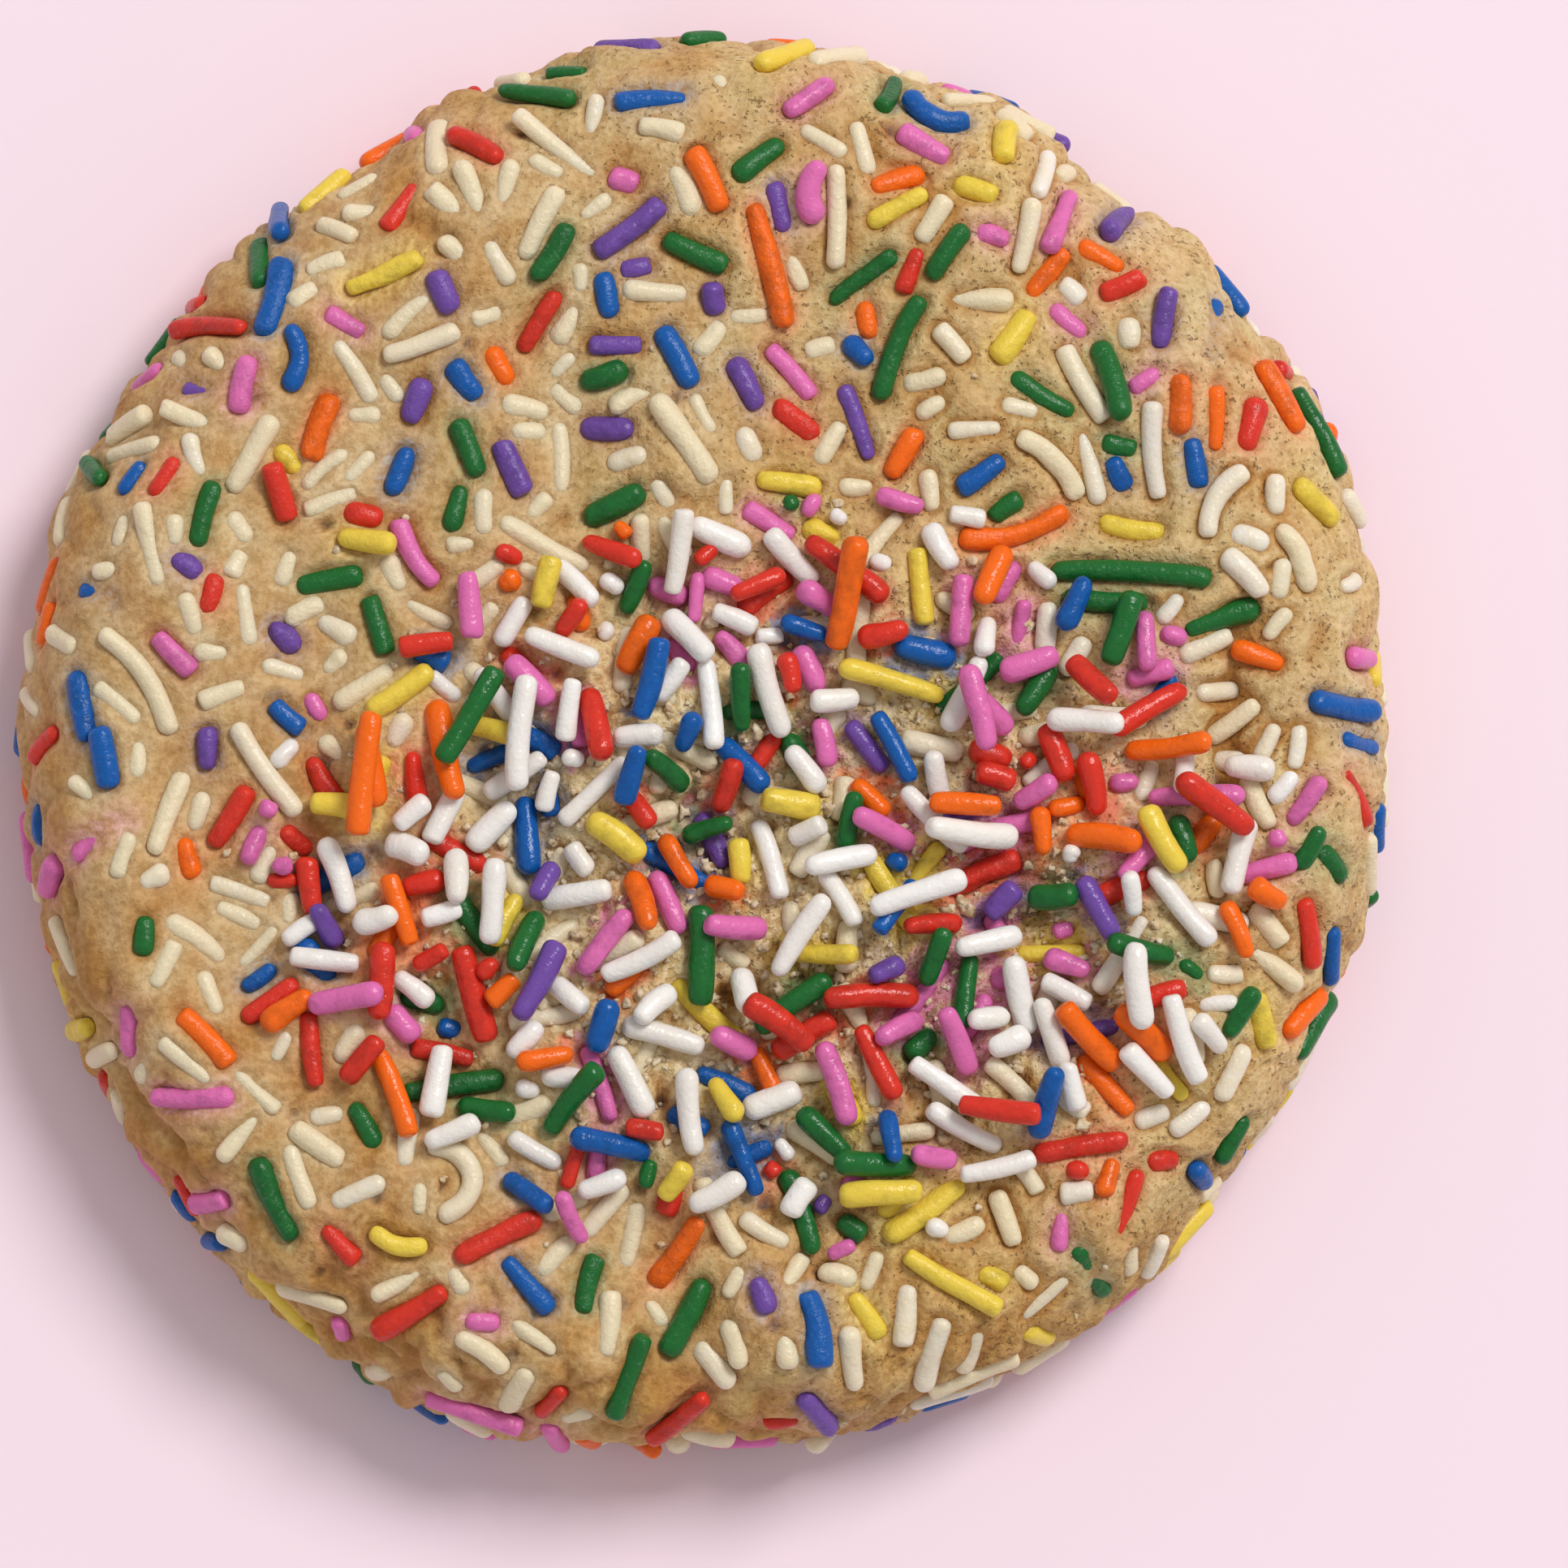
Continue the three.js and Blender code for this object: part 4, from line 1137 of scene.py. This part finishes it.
def dough_finish():
    """Baked dough: the colours of its mesh, broken up by fine grains with painted shade between them and
    painted light on them, and painted shade in its tiny pin-holes."""
    finish = Finish("dough", Subsurface_Weight=0.2, Subsurface_Radius=(0.0012, 0.0007, 0.0004),
                    Subsurface_Scale=1.0, IOR=1.32)
    skin = finish.attribute("skin", "Color")
    crumbly = finish.attribute("crumbly")
    porous = finish.attribute("porous")
    patches = finish.grain(1.5, 3, 0.6)
    grains = finish.grain(0.42, 3, 0.6)
    pin_holes = finish.grain(0.3, 2, 0.6)
    shade = finish.blend(crumbly, SHADE_BETWEEN_GRAINS, SHADE_BETWEEN_CRUMBS)
    shaded_skin = finish.blend(1.0, skin, shade, "MULTIPLY")
    light = finish.blend(1.0, skin, LIGHT_ON_GRAINS, "MULTIPLY")
    # Painted shade between the grains and painted light on them, where the same noise lowers and raises the
    # bump.
    lit_and_shaded = finish.blend(finish.step(grains + (patches - 0.5) * 0.5, 0.32, 0.66), shaded_skin, light)
    # Painted shade inside the pin-holes, which the bump also sinks.
    pores = (1 - finish.step(pin_holes + (patches - 0.5) * 0.4, 0.27, 0.38)) * porous
    finish.into("Base Color", finish.blend(pores * 0.65, lit_and_shaded, PIN_HOLE_SHADE))
    finish.into("Roughness", 0.5 + 0.3 * grains)
    heights = grains * (0.45 + 0.5 * porous + 0.6 * crumbly) - pores * 0.6 + patches * 0.3
    finish.into("Normal", finish.bump(heights, 0.2))
    return finish.material


def crumb_finish():
    """Pale inside of the dough, as it shows on crumbs."""
    finish = Finish("crumb", Subsurface_Weight=0.1, Subsurface_Radius=(0.0014, 0.0007, 0.0004),
                    Subsurface_Scale=1.0, IOR=1.4)
    mottle = finish.grain(0.5, 3, 0.6)
    finish.into("Base Color", finish.blend(finish.step(mottle, 0.3, 0.7), *CRUMB))
    finish.into("Roughness", 0.6 + 0.2 * mottle)
    finish.into("Normal", finish.bump(finish.grain(0.2, 3, 0.7), 0.1))
    return finish.material


def sprinkle_finish(colour):
    """Sugar paste: glossy, and mottled with darker dye where its surface dips, a painted shade; duller and
    flecked where it was baked in.
    """
    finish = Finish(
        f"sprinkle_{colour}", Subsurface_Weight=0.35 if colour == "cream" else 0.15,
        Subsurface_Radius=(0.0012, 0.0010, 0.0009), Subsurface_Scale=1.0, IOR=1.42, Specular_IOR_Level=0.4,
    )
    tone = finish.attribute("tone")
    baked = finish.attribute("baked")
    cloud = finish.grain(0.9, 3, 0.6)
    fleck = finish.grain(0.3, 2, 0.6)
    if colour in ("white", "cream"):
        skin = finish.blend(0.5 + 0.5 * tone, *WHITES)
        skin = finish.blend(finish.step(baked + 0.5 * (cloud - 0.5), 0.0, 0.8), skin, CREAM)
    else:
        dye = DYES[colour]
        pale = tuple(0.78 * part + 0.2 for part in dye)
        # A darker copy of the dye, mixed in where the cloud noise sinks the bump: painted shade in the dents
        # of the mottle.
        deep = tuple(0.7 * part for part in dye)
        skin = finish.blend(finish.step(tone * 0.15 + cloud, 0.15, 0.55), deep, dye)
        skin = finish.blend(finish.step(fleck, 0.58, 0.78) * (0.06 + 0.24 * baked), skin, pale)
    finish.into("Base Color", skin)
    finish.into("Roughness", 0.14 + 0.14 * baked + 0.16 * cloud)
    finish.into("Normal", finish.bump(cloud * 0.9 + fleck * (0.3 + 0.4 * baked), 0.12))
    return finish.material


# ---- stage, light and camera ----

VIEW = SimpleNamespace(
    width=84.7,  # of the view at the height of the crust
    aside=4.1, below=2.62,  # the cookie lies this far left of and above the middle of the view
    height=10.5, lens=400.0, sensor=36.0,
    lean=4.5, toward=-125.0,  # degrees off plumb, and the direction in which the camera stands off
)

# The floor and the window, in metres, and the sky.
FLOOR = SimpleNamespace(half_width=3, drop=0.00005, colour=(0.935, 0.758, 0.852))
WINDOW = SimpleNamespace(size=0.85, power=30.0, place=(0.84, 0.95, 1.68), colour=(1.0, 0.985, 0.96))
SKY = SimpleNamespace(strength=0.49, colour=(1.0, 0.99, 0.985))


def set_stage():
    floor_mesh = bmesh.new()
    bmesh.ops.create_grid(floor_mesh, x_segments=1, y_segments=1, size=FLOOR.half_width)
    data = bpy.data.meshes.new("floor")
    floor_mesh.to_mesh(data)
    floor_mesh.free()
    floor = bpy.data.objects.new("floor", data)
    floor.location.z = -FLOOR.drop
    finish = Finish("floor", Roughness=0.9, Base_Color=(*FLOOR.colour, 1.0))
    data.materials.append(finish.material)
    bpy.context.scene.collection.objects.link(floor)


def set_lights():
    """A soft window at the upper right, and a plain sky."""
    lamp = bpy.data.lights.new("window", "AREA")
    lamp.shape = "DISK"
    lamp.size = WINDOW.size
    lamp.energy = WINDOW.power
    lamp.color = WINDOW.colour
    light = bpy.data.objects.new("window", lamp)
    light.location = WINDOW.place
    light.rotation_euler = Vector(WINDOW.place).to_track_quat("Z", "Y").to_euler()
    bpy.context.scene.collection.objects.link(light)
    world = bpy.data.worlds.new("sky")
    bpy.context.scene.world = world
    world.use_nodes = True
    sky = world.node_tree.nodes["Background"]
    sky.inputs["Color"].default_value = (*SKY.colour, 1.0)
    sky.inputs["Strength"].default_value = SKY.strength
    bpy.context.scene.view_settings.view_transform = "Standard"


def set_camera():
    """Almost plumb above the cookie, upright in the picture as the cookie's +Y is."""
    data = bpy.data.cameras.new("camera")
    data.lens = VIEW.lens
    data.sensor_width = VIEW.sensor
    data.clip_start = 0.01
    camera = bpy.data.objects.new("camera", data)
    bpy.context.scene.collection.objects.link(camera)
    bpy.context.scene.camera = camera
    lean, toward = math.radians(VIEW.lean), math.radians(VIEW.toward)
    back = Vector((math.sin(lean) * math.cos(toward), math.sin(lean) * math.sin(toward), math.cos(lean)))
    right = Vector((0, 1, 0)).cross(back).normalized()
    above = back.cross(right)
    target = Vector((VIEW.aside, -VIEW.below, VIEW.height)) * MM
    place = target + back * (VIEW.width * VIEW.lens / VIEW.sensor * MM)
    camera.matrix_world = Matrix.Translation(place) @ Matrix((right, above, back)).transposed().to_4x4()


def main():
    rods = lay_all()
    weather(rods)
    surface = make_dough(rods, dough_finish())
    for colour in (*COLOURS, "cream"):
        make_sprinkles(colour, [rod for rod in rods if kind_of(rod) == colour], sprinkle_finish(colour))
    make_crumbs(surface, crumb_finish())
    set_stage()
    set_lights()
    set_camera()
    bpy.context.view_layer.update()


main()
